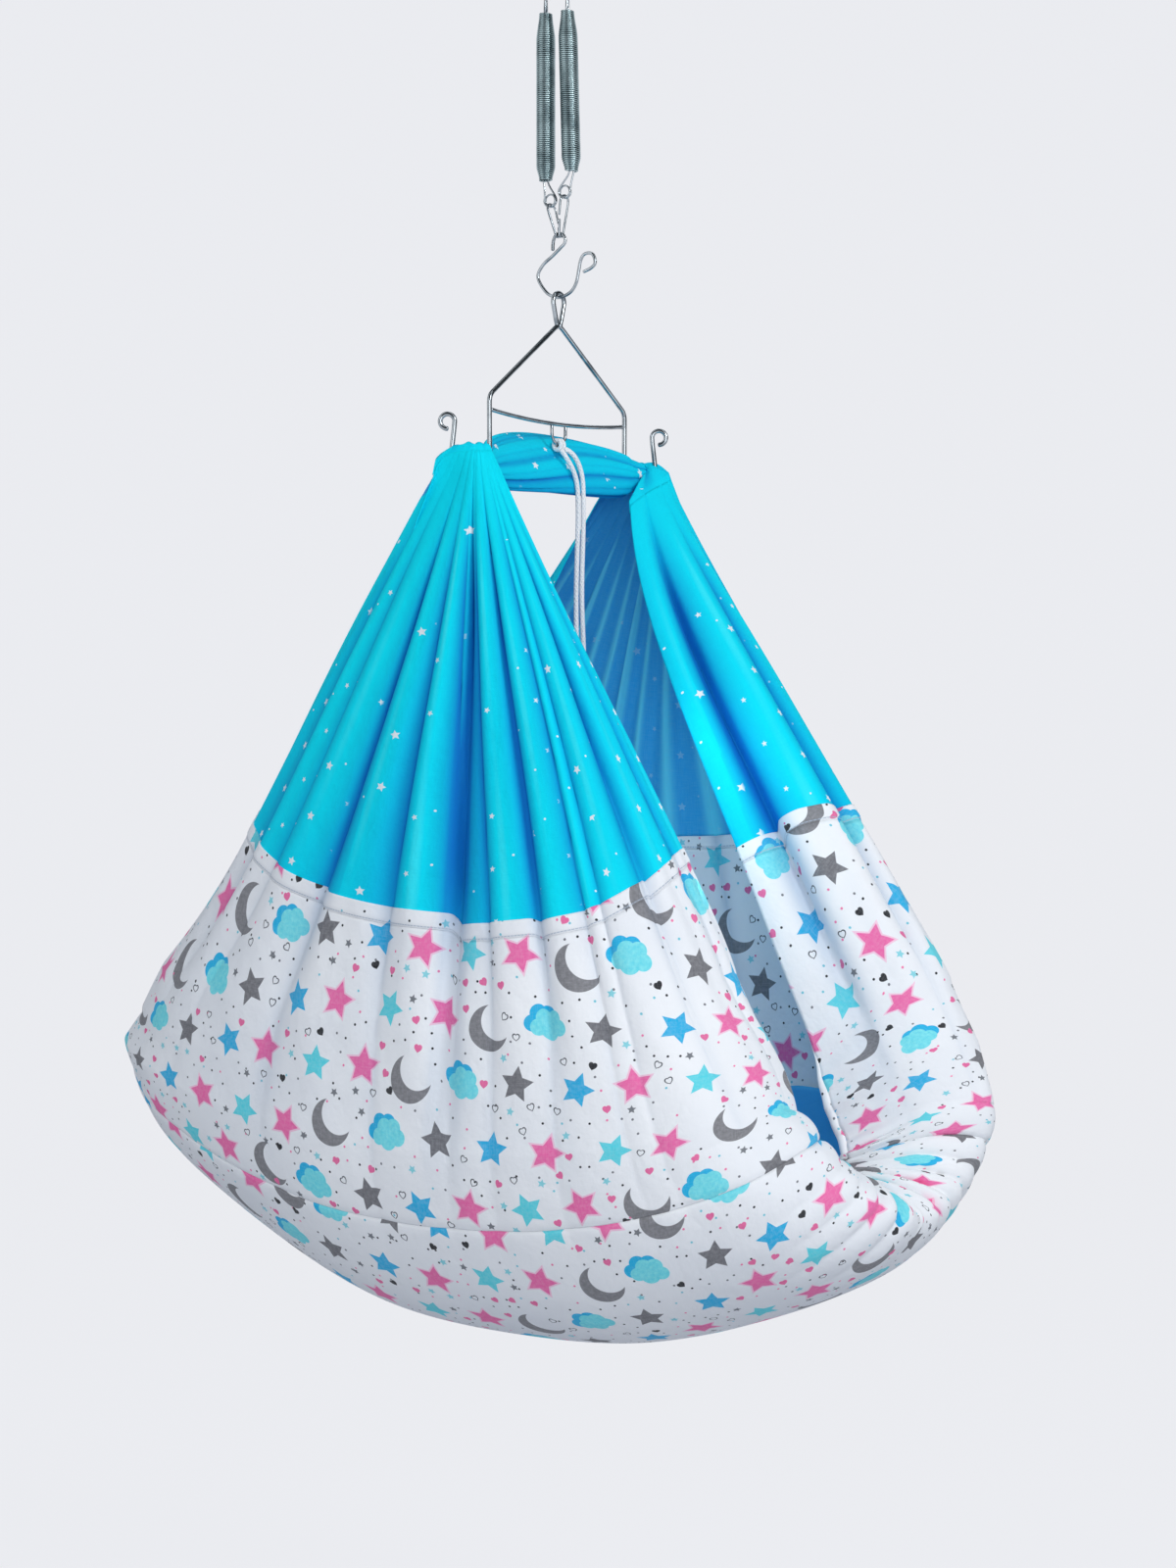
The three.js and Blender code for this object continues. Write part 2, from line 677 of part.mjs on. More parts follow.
function keelSheet(firstColumn, lastColumn, rows, inwardAt) {
  const columns = lastColumn - firstColumn;
  return sheetSolid(columns, rows, (alongShare, acrossShare, face) => {
    const column = firstColumn + columns * alongShare;
    const row = rows * (acrossShare - 1 / 2);
    const across = row * rowShare;
    const hook = across < 0 ? leftHook : rightHook;
    return clothPoint(hook, column * columnShare, 2 - Math.abs(across), inwardAt(column, row, face));
  });
}
const bottomPanel = keelSheet(-wallColumns / 2, wallColumns / 2, bottomRows, (column, row, face) => {
  return (face - 1 / 2) * clothThickness;
});
addPiece("bottom_panel", bottomPanel, "print");

// Band of gathered cloth between the J-hooks, and the bundles that carry it over each crook
const bandSides = 12;
const bandTopDepth = crossbarDepth + bandDrop;

function ovalRing(centre, halfThickness, halfHeight, shear) {
  const ring = [];
  for (let i = 0; i < bandSides; i += 1) {
    const angle = (2 * Math.PI * i) / bandSides;
    const rise = halfHeight * Math.sin(angle);
    const y = centre.y + halfThickness * Math.cos(angle) + shear * rise;
    ring.push(at(centre.x, y, centre.z + rise));
  }
  return ring;
}
const plans = hooks.map(hookPlan);
const [leftMiddle, rightMiddle] = plans.map(({ leg, stem }) => leg.clone().lerp(stem, 1 / 2));
const bundleDepth = hooks.map((hook) => crookDepth + hook.span / 2 - rod / 2 - seat - bundleHalfHeight);
const bandHalfLength = legX - bandEndInset;
const bandSteps = 12;

function bandCentre(x) {
  const reach = x / bandHalfLength;
  const share = (x - leftMiddle.x) / (rightMiddle.x - leftMiddle.x);
  const endDepth = bundleDepth[0] + (bundleDepth[1] - bundleDepth[0]) * share;
  const middleDepth = bandTopDepth + bandHalfHeight;
  const depth = middleDepth + (endDepth - middleDepth) * reach * reach;
  const y = leftMiddle.y + (rightMiddle.y - leftMiddle.y) * share + bandShift * (1 - reach * reach);
  return at(x, y, -depth);
}
const bandRings = [];
for (let i = 0; i <= bandSteps; i += 1) {
  const reach = (2 * i) / bandSteps - 1;
  const swell = Math.sqrt(Math.max(1 - reach * reach, 0));
  const halfHeight = bandEndHalfHeight + (bandHalfHeight - bandEndHalfHeight) * swell;
  const ring = ovalRing(bandCentre(reach * bandHalfLength), bandHalfThickness, halfHeight, bandShear * swell);
  bandRings.push(ring);
}
addPiece("top_band", loft(bandRings), "cyan");

hooks.forEach((hook, index) => {
  const { outward } = plans[index];
  const middle = index === 0 ? leftMiddle : rightMiddle;
  const inner = bandCentre(hook.sign * (bandHalfLength + seat));
  const crossing = middle.clone().setZ(-bundleDepth[index]);
  const outer = crossing.clone().addScaledVector(outward, rimGap * bundleReachShares[hook.name]);
  const rings = [
    ovalRing(inner, bandHalfThickness - seat, bandEndHalfHeight - seat, 0),
    ovalRing(inner.clone().lerp(crossing, 1 / 2), bundleHalfThickness, bundleHalfHeight, 0),
    ovalRing(crossing, bundleHalfThickness, bundleHalfHeight, 0),
    ovalRing(outer, bundleHalfThickness, bundleEndHalfHeight, 0),
  ];
  addPiece(`neck_${hook.name}`, loft(rings), "cyan");
});

// Casings round the front and back mouths, each with its elastic, following the free edges
const casingSteps = 9;

function casingPoint(hook, sign, down) {
  const edge = clothPoint(hook, sign * freeEdgeShare, down, 0);
  const step = down > 1 ? -0.02 : 0.02;
  const along = clothPoint(hook, sign * freeEdgeShare, down + step, 0).sub(edge).normalize();
  const beyond = clothPoint(hook, sign, down, 0).sub(edge);
  beyond.addScaledVector(along, -beyond.dot(along)).normalize();
  return edge.addScaledVector(beyond, (casingDiameter + clothThickness) / 2 + seat);
}

function mouthPoints(sign) {
  const points = [];
  for (const hook of hooks) {
    for (let i = 0; i <= casingSteps; i += 1) {
      const step = hook.sign < 0 ? i : casingSteps - i;
      const down = casingTopShare + (2 - casingTopShare) * (step / casingSteps);
      if (hook.sign < 0 || step < casingSteps) points.push(casingPoint(hook, sign, down));
    }
  }
  return points;
}
for (const [name, sign] of [["front", 1], ["back", -1]]) {
  const points = mouthPoints(sign);
  addPiece(`${name}_casing`, tube(points, casingDiameter, smallWireSides, casingBore), "print");
  addPiece(`${name}_elastic`, tube(points, elasticDiameter, smallWireSides), "white");
}

// Mattress pad on the bottom panel, with its crown, and the lining sheet over it
const padColumns = 12;
const padShiftColumns = 1;
const padRows = 8;
const padFloor = clothThickness / 2 + seat;

function padRise(column, row) {
  const reach = Math.min(Math.abs((2 * (column - padShiftColumns)) / padColumns), 1);
  const side = Math.min(Math.abs((2 * row) / padRows), 1);
  return padThickness * (1 - padEdgeShare * side ** 4) * (1 - padEdgeShare * reach ** 4);
}
const padBack = padShiftColumns - padColumns / 2;
const pad = keelSheet(padBack, padBack + padColumns, padRows, (column, row, face) => {
  return padFloor + face * padRise(column, row);
});
addPiece("mattress_pad", pad, "white");

const liningFrontColumns = 10;
const liningRows = 18;
const liningFallRows = 5;
const lining = keelSheet(padBack - 1, liningFrontColumns, liningRows, (column, row, face) => {
  const fall = THREE.MathUtils.smoothstep(Math.abs(row), liningFallRows, liningRows / 2);
  const overPad = padRise(column, row) * (1 - liningFallShare * fall) + seat;
  return padFloor + overPad + liningLooseness * fall + face * liningThickness;
});
addPiece("lining_sheet", lining, "lining");

// Pull cord: the hitch round the bottom of the bail, two strands that hang in front of the band and
// a knot on the end of each. The routes' points are chosen by hand.
const bailBottom = bailCentre.z - bailRadius;

function hitch() {
  const profile = [
    new THREE.Vector2(hitchBore / 2, -hitchLength / 2),
    new THREE.Vector2(hitchDiameter / 2, -hitchLength / 4),
    new THREE.Vector2(hitchDiameter / 2, hitchLength / 4),
    new THREE.Vector2(hitchBore / 2, hitchLength / 2),
    new THREE.Vector2(hitchBore / 2, -hitchLength / 2),
  ];
  const ring = new THREE.LatheGeometry(profile, 12);
  ring.rotateZ(Math.PI / 2);
  ring.translate(0, 0, bailBottom + hitchRise);
  return ring;
}
addPiece("cord_hitch", hitch(), "white");

const strandRoutes = {
  front: [
    [3.2, -6.4, -477.6],
    [6.5, -8.8, -479.6],
    [11, -10.6, -483],
    [16, -11.7, -488.5],
    [20.5, -12.4, -496],
    [23.5, -12.9, -505],
    [24.8, -13.2, -516],
    [25, -13.4, -530],
    [25, -13.5, -548],
    [24, -13.6, -572],
    [22.6, -13.6, -598],
    [22, -13.6, -622],
    [22.8, -13.6, -646],
    [24.4, -13.6, -670],
    [26, -13.6, -694],
    [27, -13.6, -718],
    [27.4, -13.6, -742],
  ],
  back: [
    [-2.6, -5.2, -479.2],
    [-1.6, -7.2, -482],
    [1.2, -8.8, -486.5],
    [5.5, -10, -492],
    [10, -11.2, -499],
    [13.4, -12.4, -508],
    [15.2, -13.1, -519],
    [15.5, -13.4, -532],
    [15.4, -13.5, -550],
    [14.2, -13.6, -574],
    [12.8, -13.6, -600],
    [12, -13.6, -624],
    [12, -13.6, -648],
    [12.6, -13.6, -672],
    [13.4, -13.6, -696],
    [14, -13.6, -720],
    [14.2, -13.6, -744],
    [14.2, -13.6, -764],
  ],
};

function knot(end) {
  const profile = [
    new THREE.Vector2(0, -knotLength),
    new THREE.Vector2(knotDiameter / 3, (-knotLength * 7) / 8),
    new THREE.Vector2(knotDiameter / 2, -knotLength / 2),
    new THREE.Vector2(knotDiameter / 3, -knotLength / 8),
    new THREE.Vector2(0, 0),
  ];
  const body = new THREE.LatheGeometry(profile, 10);
  body.rotateX(Math.PI / 2);
  body.translate(end.x, end.y, end.z - seat);
  return body;
}
for (const [name, route] of Object.entries(strandRoutes)) {
  const points = route.map(([x, y, z]) => at(x, y, z));
  addPiece(`pull_cord_${name}`, tube(smooth(points, 1), cordDiameter, 8), "white");
  addPiece(`cord_knot_${name}`, knot(points[points.length - 1]), "white");
}

export default cradle;
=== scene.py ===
"""Hanging baby cradle: a loop of cotton hung from a bent rod hanger, an S-hook, two wire links and a pair
of extension springs. Metres, +Z up, origin at the hang point."""

import bpy
import numpy as np
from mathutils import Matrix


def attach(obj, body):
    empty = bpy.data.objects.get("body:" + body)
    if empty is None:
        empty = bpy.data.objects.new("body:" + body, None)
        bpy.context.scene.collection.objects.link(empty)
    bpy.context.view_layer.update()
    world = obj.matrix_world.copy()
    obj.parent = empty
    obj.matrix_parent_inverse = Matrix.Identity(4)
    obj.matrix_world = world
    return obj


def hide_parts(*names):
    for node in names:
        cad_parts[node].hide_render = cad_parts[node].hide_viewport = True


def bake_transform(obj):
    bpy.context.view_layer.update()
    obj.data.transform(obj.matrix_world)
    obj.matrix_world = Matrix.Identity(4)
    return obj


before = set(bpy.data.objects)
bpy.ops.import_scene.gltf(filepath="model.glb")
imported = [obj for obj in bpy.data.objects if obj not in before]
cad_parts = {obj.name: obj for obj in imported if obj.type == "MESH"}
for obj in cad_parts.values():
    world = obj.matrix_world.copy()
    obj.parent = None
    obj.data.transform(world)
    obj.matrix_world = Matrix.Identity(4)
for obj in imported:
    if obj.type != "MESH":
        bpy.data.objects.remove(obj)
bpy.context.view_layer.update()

# Camera: level, four metres away and 55 degrees to the left of the cradle's open front, with a 90 mm
# lens. It is turned a little to the right, which leaves the hang chain left of the picture's middle.
camera_turn = np.radians(55)
camera_distance = 4.0
camera_height = -0.819
camera_aim = np.arctan(0.030 / camera_distance)
lens = bpy.data.cameras.new("camera")
lens.lens = 90
lens.sensor_width = 36
lens.clip_start = 0.1
camera = bpy.data.objects.new("camera", lens)
bpy.context.scene.collection.objects.link(camera)
camera.location = (
    -camera_distance * np.sin(camera_turn),
    -camera_distance * np.cos(camera_turn),
    camera_height,
)
camera.rotation_euler = (np.pi / 2, 0, -camera_turn - camera_aim)
bpy.context.scene.camera = camera

# Pull cord: five millimetres of soft white cotton braid, hitched round the bail under the crossbar. Its
# two strands hang in front of the gathered band, and each ends in an overhand knot.


def through(points, shares, power=0.5):
    """Points of a Catmull-Rom curve through the given ones, at shares of its spans. Each span is the cubic
    between two points whose end slopes come from its neighbours, with knots spaced by the distances to a
    power: one half keeps the curve close, and nought spaces them evenly."""
    points = np.asarray(points, float)
    padded = np.vstack([2 * points[:1] - points[1:2], points, 2 * points[-1:] - points[-2:-1]])
    place = np.clip(shares, 0, 1) * (len(points) - 1)
    span = np.minimum(place.astype(int), len(points) - 2)
    t = (place - span)[..., None]
    p0, p1, p2, p3 = (padded[span + k] for k in range(4))
    pairs = ((p0, p1), (p1, p2), (p2, p3))
    d0, d1, d2 = (np.linalg.norm(b - a, axis=-1, keepdims=True) ** power for a, b in pairs)
    leaving = ((p1 - p0) / d0 - (p2 - p0) / (d0 + d1) + (p2 - p1) / d1) * d1
    arriving = ((p2 - p1) / d1 - (p3 - p1) / (d1 + d2) + (p3 - p2) / d2) * d1
    square = 3 * (p2 - p1) - 2 * leaving - arriving
    cube = 2 * (p1 - p2) + leaving + arriving
    return p1 + t * (leaving + t * (square + t * cube))


def smooth(points, steps):
    """The curve through the points, with so many steps to a span."""
    return through(points, np.linspace(0, 1, (len(points) - 1) * steps + 1))


def unit(vectors):
    """The vectors at length one."""
    return vectors / np.linalg.norm(vectors, axis=-1, keepdims=True)


def lengths(grid, axis):
    """Lengths along a grid's rows or columns, from its first point."""
    steps = np.linalg.norm(np.diff(grid, axis=axis), axis=-1)
    return np.insert(np.cumsum(steps, axis=axis), 0, 0, axis=axis)


def grid_piece(name, grid, flat, around=False, capped=False):
    """A mesh of quads over a grid of points in rows and columns, with a flat map in metres as its UVs.
    Around joins each row's last point to its first, and capped closes the first and last row with a fan
    about its middle. A closed mesh is turned so that its volume is positive."""
    rows, columns = grid.shape[:2]
    i, j = np.mgrid[0 : rows - 1, 0 : columns if around else columns - 1].reshape(2, -1)
    right = (j + 1) % columns
    quads = np.stack([i, i, i + 1, i + 1], 1) * columns + np.stack([j, right, right, j], 1)
    corners = [flat[i, j], flat[i, j + 1], flat[i + 1, j + 1], flat[i + 1, j]]
    points = grid.reshape(-1, 3)
    faces = quads.tolist()
    uvs = [np.stack(corners, 1).reshape(-1, 2)]
    if capped:
        middles = np.stack([grid[0].mean(0), grid[-1].mean(0)])
        points = np.vstack([points, middles])
        k = np.arange(columns)
        after = (k + 1) % columns
        last = (rows - 1) * columns
        first_fan = np.stack([np.full(columns, rows * columns), after, k], 1)
        last_fan = np.stack([np.full(columns, rows * columns + 1), last + k, last + after], 1)
        faces += first_fan.tolist() + last_fan.tolist()
        ends = [[flat[row, k], flat[row, k], flat[row, k]] for row in (0, -1)]
        uvs += [np.stack(end, 1).reshape(-1, 2) for end in ends]
    mesh = bpy.data.meshes.new(name)
    mesh.from_pydata(points.tolist(), [], faces)
    mesh.uv_layers.new(name="flat").data.foreach_set("uv", np.concatenate(uvs).ravel())
    if capped:
        triangles = points[np.vstack([quads[:, :3], quads[:, [0, 2, 3]], first_fan, last_fan])]
        cross = np.cross(triangles[:, 1], triangles[:, 2])
        if np.einsum("ij,ij->", triangles[:, 0], cross) < 0:
            mesh.flip_normals()
    mesh.polygons.foreach_set("use_smooth", np.ones(len(faces), bool))
    piece = bpy.data.objects.new(name, mesh)
    bpy.context.scene.collection.objects.link(piece)
    return piece


def bar(name, path, radius, sides, level=(0, 0, 1)):
    """A round bar along a path: every point carries a ring square to the path's direction t, with axes
    level x t and t x (level x t), and each end is closed by a low dome of shrinking rings."""
    path = np.asarray(path, float)
    along = unit(np.gradient(path, axis=0))
    reach = np.broadcast_to(np.asarray(radius, float), len(path))
    slope = np.radians([80, 55, 25])
    lift, shrink = np.sin(slope) * 0.6, np.cos(slope)
    first = path[0] - along[0] * reach[0] * lift[:, None]
    last = path[-1] + along[-1] * reach[-1] * lift[::-1, None]
    centres = np.vstack([first, path, last])
    reach = np.concatenate([reach[0] * shrink, reach, reach[-1] * shrink[::-1]])
    along = np.pad(along, ((3, 3), (0, 0)), "edge")
    side = unit(np.cross(level, along))
    up = np.cross(along, side)
    angle = np.linspace(0, 2 * np.pi, sides + 1)
    ring = np.cos(angle)[None, :, None] * side[:, None] + np.sin(angle)[None, :, None] * up[:, None]
    grid = centres[:, None] + reach[:, None, None] * ring
    flat = np.stack(np.broadcast_arrays(angle * reach.max(), lengths(centres, 0)[:, None]), -1)
    return grid_piece(name, grid[:, :-1], flat, around=True, capped=True)


class Value:
    """A socket of a material's node tree. Arithmetic on it adds Math nodes to the tree."""

    def __init__(self, tree, socket=None):
        self.tree = tree
        self.socket = socket

    def node(self, kind, settings=None, inputs=None, output=0):
        """Adds a node of a kind: its settings are set first, and then its inputs get their numbers or
        links. The result is its output of that name or number."""
        made = self.tree.nodes.new(kind)
        for name, value in (settings or {}).items():
            setattr(made, name, value)
        for name, value in (inputs or {}).items():
            if isinstance(value, Value):
                self.tree.links.new(value.socket, made.inputs[name])
            else:
                made.inputs[name].default_value = value
        return Value(self.tree, made.outputs[output] if made.outputs else None)

    def math(self, operation, *others):
        """A Math node's result for this value and the others."""
        return self.node("ShaderNodeMath", {"operation": operation}, dict(enumerate((self, *others))))

    def axes(self):
        """The three numbers of a vector."""
        split = self.node("ShaderNodeSeparateXYZ", inputs={0: self}).socket.node
        return [Value(self.tree, socket) for socket in split.outputs]

    def mix(self, low, high):
        """The colour low where this value is 0, and high where it is 1."""
        return self.node("ShaderNodeMix", {"data_type": "RGBA"}, {0: self, 6: low, 7: high}, 2)

    def ramp(self, low, high):
        """Rises smoothly from 0 to 1 as this value goes from low to high."""
        settings = {"interpolation_type": "SMOOTHSTEP"}
        return self.node("ShaderNodeMapRange", settings, {0: self, 1: low, 2: high})

    def noise(self, scale, detail=2.0):
        """Noise about this place, from 0 to 1."""
        return self.node("ShaderNodeTexNoise", inputs={"Vector": self, "Scale": scale, "Detail": detail})

    def stretched(self, x, y):
        """This place with its first two axes scaled."""
        return self.node("ShaderNodeVectorMath", {"operation": "MULTIPLY"}, {0: self, 1: (x, y, 1.0)})

    def bump(self, strength, distance):
        """The surface's normal, raised by this value."""
        inputs = {"Height": self, "Strength": strength, "Distance": distance}
        return self.node("ShaderNodeBump", inputs=inputs)

    def stored(self, name):
        """The number of that name that the mesh carries at each point."""
        return self.node("ShaderNodeAttribute", {"attribute_name": name}, output="Fac")

    def __add__(self, other):
        return self.math("ADD", other)

    def __sub__(self, other):
        return self.math("SUBTRACT", other)

    def __rsub__(self, other):
        return self.node("ShaderNodeMath", {"operation": "SUBTRACT"}, {0: other, 1: self})

    def __mul__(self, other):
        return self.math("MULTIPLY", other)

    def __truediv__(self, other):
        return self.math("DIVIDE", other)

    def __mod__(self, other):
        return self.math("FLOORED_MODULO", other)

    def __lt__(self, other):
        return self.math("LESS_THAN", other)

    def __gt__(self, other):
        return self.math("GREATER_THAN", other)

    def __abs__(self):
        return self.math("ABSOLUTE")

    __radd__ = __add__


def paint(red, green, blue):
    """A colour from its numbers on a screen, 0 to 255."""
    share = np.array([red, green, blue]) / 255
    linear = np.where(share <= 0.04045, share / 12.92, ((share + 0.055) / 1.055) ** 2.4)
    return (*linear.tolist(), 1.0)


def new_finish(name):
    """A material, the start of its tree, and its flat map and its place on the object."""
    finish = bpy.data.materials.new(name)
    finish.use_nodes = True
    finish.node_tree.nodes.clear()
    start = Value(finish.node_tree)
    flat = start.node("ShaderNodeUVMap", {"uv_map": "flat"})
    place = start.node("ShaderNodeTexCoord", output="Object")
    return finish, start, flat, place


def close_finish(start, **inputs):
    """Puts the surface shader on a material. Its inputs are named with _ for a space."""
    named = {name.replace("_", " "): value for name, value in inputs.items()}
    shader = start.node("ShaderNodeBsdfPrincipled", inputs=named)
    start.node("ShaderNodeOutputMaterial", inputs={"Surface": shader})


def dress(piece, finish, slot, body, *nodes):
    """Gives a piece its finish, makes it ride on its body, and lets it stand for its nodes. Its slot is not
    used.
    """
    piece.data.materials.append(finish)
    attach(piece, body)
    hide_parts(*nodes)
    return piece


cord_radius = 0.0025
front_route = list(
    zip(
        [0.0032, 0.0065, 0.0110, 0.0160, 0.0205, 0.0235, 0.0248, 0.0250, 0.0250]
        + [0.0240, 0.0226, 0.0220, 0.0228, 0.0244, 0.0260, 0.0270, 0.0274],
        [-0.0064, -0.0088, -0.0106, -0.0117, -0.0124, -0.0129, -0.0132, -0.0134, -0.0135] + [-0.0136] * 8,
        [-0.4776, -0.4796, -0.4830, -0.4885, -0.4960, -0.5050, -0.5160, -0.5300, -0.5480]
        + [-0.5720, -0.5980, -0.6220, -0.6460, -0.6700, -0.6940, -0.7180, -0.7420],
    )
)
back_route = list(
    zip(
        [-0.0026, -0.0016, 0.0012, 0.0055, 0.0100, 0.0134, 0.0152, 0.0155, 0.0154]
        + [0.0142, 0.0128, 0.0120, 0.0120, 0.0126, 0.0134, 0.0140, 0.0142, 0.0142],
        [-0.0052, -0.0072, -0.0088, -0.0100, -0.0112, -0.0124, -0.0131, -0.0134, -0.0135] + [-0.0136] * 9,
        [-0.4792, -0.4820, -0.4865, -0.4920, -0.4990, -0.5080, -0.5190, -0.5320, -0.5500]
        + [-0.5740, -0.6000, -0.6240, -0.6480, -0.6720, -0.6960, -0.7200, -0.7440, -0.7640],
    )
)

braid, start, flat, place = new_finish("cotton_braid")
u, v, _ = flat.axes()
strand_turn = u * (4 / cord_radius)
rightward = (strand_turn + v * 1250).math("SINE")
leftward = (strand_turn - v * 1250).math("SINE")
plait = rightward.math("MAXIMUM", leftward)
fluff = place.noise(900)
# The braid is painted darker in the grooves between its strands, as painted shade, with a little random fluff
# in its tone.
braid_tone_and_painted_shade = (plait.ramp(-0.4, 0.9) * 0.8 + fluff * 0.2).mix(paint(232, 240, 246), paint(253, 254, 255))
close_finish(
    start,
    Base_Color=braid_tone_and_painted_shade,
    Roughness=0.85,
    Sheen_Weight=0.25,
    Normal=(plait + fluff * 0.5).bump(0.6, 0.0006),
)

cord_strands = []
for name, route in (("front", front_route), ("back", back_route)):
    path = smooth(route, 5)
    length = float(np.linalg.norm(np.diff(path, axis=0), axis=1).sum())
    strand = bar(f"cord_strand_{name}", path, cord_radius, 16, level=(0, 1, 0))
    dress(strand, braid, "cord", "cradle", f"pull_cord_{name}")
    cord_strands.append((strand, name, route, path, length))

# Hitch: the doubled cord passes over the bail's bottom bend twice and crosses itself in front of it.
bail_low = -0.47329
hitch_turns = np.linspace(-0.35, 2.35, 73)
hitch_angle = 2 * np.pi * hitch_turns
hitch_reach = 0.0042 + 0.0009 * np.abs(np.sin(np.pi * hitch_turns)) ** 8
hitch_path = np.stack(
    [
        0.0026 * np.cos(np.pi * np.clip(hitch_turns, 0, 2) / 2),
        -hitch_reach * np.sin(hitch_angle) - 0.0004,
        bail_low - hitch_reach * np.cos(hitch_angle) - 0.0004,
    ],
    1,
)
hitch_loop = bar("hitch_loop", hitch_path, 0.0024, 14, level=(1, 0, 0))
dress(hitch_loop, braid, "cord", "cradle", "cord_hitch")

# Knots: an overhand knot is a trefoil of cord pulled tight. One hangs at the end of each strand.
for strand, name, route, path, length in cord_strands:
    turn = np.linspace(0, 2 * np.pi, 97)[:-1]
    end = np.array(route[-1])
    loops = np.stack(
        [
            0.0022 * (np.sin(turn) + 1.35 * np.sin(2 * turn)),
            0.0022 * (np.cos(turn) - 1.35 * np.cos(2 * turn)),
            -0.0030 * np.sin(3 * turn),
        ],
        1,
    )
    loops = loops + end + (0, 0, -0.0077)
    closed = np.vstack([loops, loops[:1]])
    knot = bar(f"overhand_knot_{name}", closed, 0.0023, 12, level=(0.2, 0.3, 1))
    dress(knot, braid, "cord", "cradle", f"cord_knot_{name}")

# Springs: close-wound extension springs of 2.1 mm drawn steel wire, 20 mm across and narrowed at both
# ends. They hang from hairpins of wire, and each ends in a wire eye.
spring_wire = 0.0021
spring_top = -0.030
spring_radius = (0.020 - spring_wire) / 2
spring_end_radius = (0.014 - spring_wire) / 2
top_taper = 0.029
bottom_taper = 0.015


def bell(share):
    """Rises from 0 to 1 as a share does, with level ends: three squares less two cubes."""
    share = np.clip(share, 0, 1)
    return share * share * (3 - 2 * share)


def coil_radius(share):
    """The coil's radius: its narrow end's at 0 and the full one at 1."""
    return spring_end_radius + (spring_radius - spring_end_radius) * share


def coil(length, top_y, bottom_y):
    """A helix with one turn to each wire's thickness. Its radius grows from the narrow end turns to the
    full one with the bell of the nearer end's distance."""
    turns = length / spring_wire - 1
    share = np.linspace(0, 1, int(turns * 26))
    fall = share * turns * spring_wire
    from_bottom = length - spring_wire - fall
    radius = coil_radius(bell(np.minimum(fall / top_taper, from_bottom / bottom_taper)))
    angle = 2 * np.pi * turns * share
    y = top_y + (bottom_y - top_y) * share + radius * np.sin(angle)
    return np.stack([radius * np.cos(angle), y, spring_top - spring_wire / 2 - fall], 1)


spring_steel, start, flat, place = new_finish("drawn_spring_steel")
drawn = flat.stretched(700, 40).noise(1.0)
grime = place.noise(60, 4.0)
steel_colour = grime.ramp(0.35, 0.85).mix(paint(166, 186, 190), paint(100, 120, 126))
close_finish(
    start,
    Base_Color=steel_colour,
    Metallic=1.0,
    Roughness=0.19 + drawn * 0.08,
    Normal=drawn.bump(0.05, 0.0001),
)

zinc, start, flat, place = new_finish("zinc_plated_wire")
streaks = flat.stretched(900, 30).noise(1.0)
bloom = place.noise(45, 3.0)
zinc_colour = bloom.ramp(0.4, 0.75).mix(paint(178, 186, 192), paint(112, 122, 130))
close_finish(
    start,
    Base_Color=zinc_colour,
    Metallic=1.0,
    Roughness=0.1 + streaks * 0.12 + bloom.ramp(0.5, 0.8) * 0.12,
    Normal=streaks.bump(0.08, 0.0001),
)

spring_facts = [
    ("left", 0.173, 0.016, 0.016, 0.0103, 0.223),
    ("right", 0.166, -0.011, -0.016, -0.0077, 0.2154),
]
for side, length, top_y, bottom_y, eye_y, eye_depth in spring_facts:
    spring = bar(f"coil_spring_{side}", coil(length, top_y, bottom_y), spring_wire / 2, 8)
    spring.data.materials.append(spring_steel)
    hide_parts(f"spring_{side}")
    spring_top - length
    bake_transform(spring)

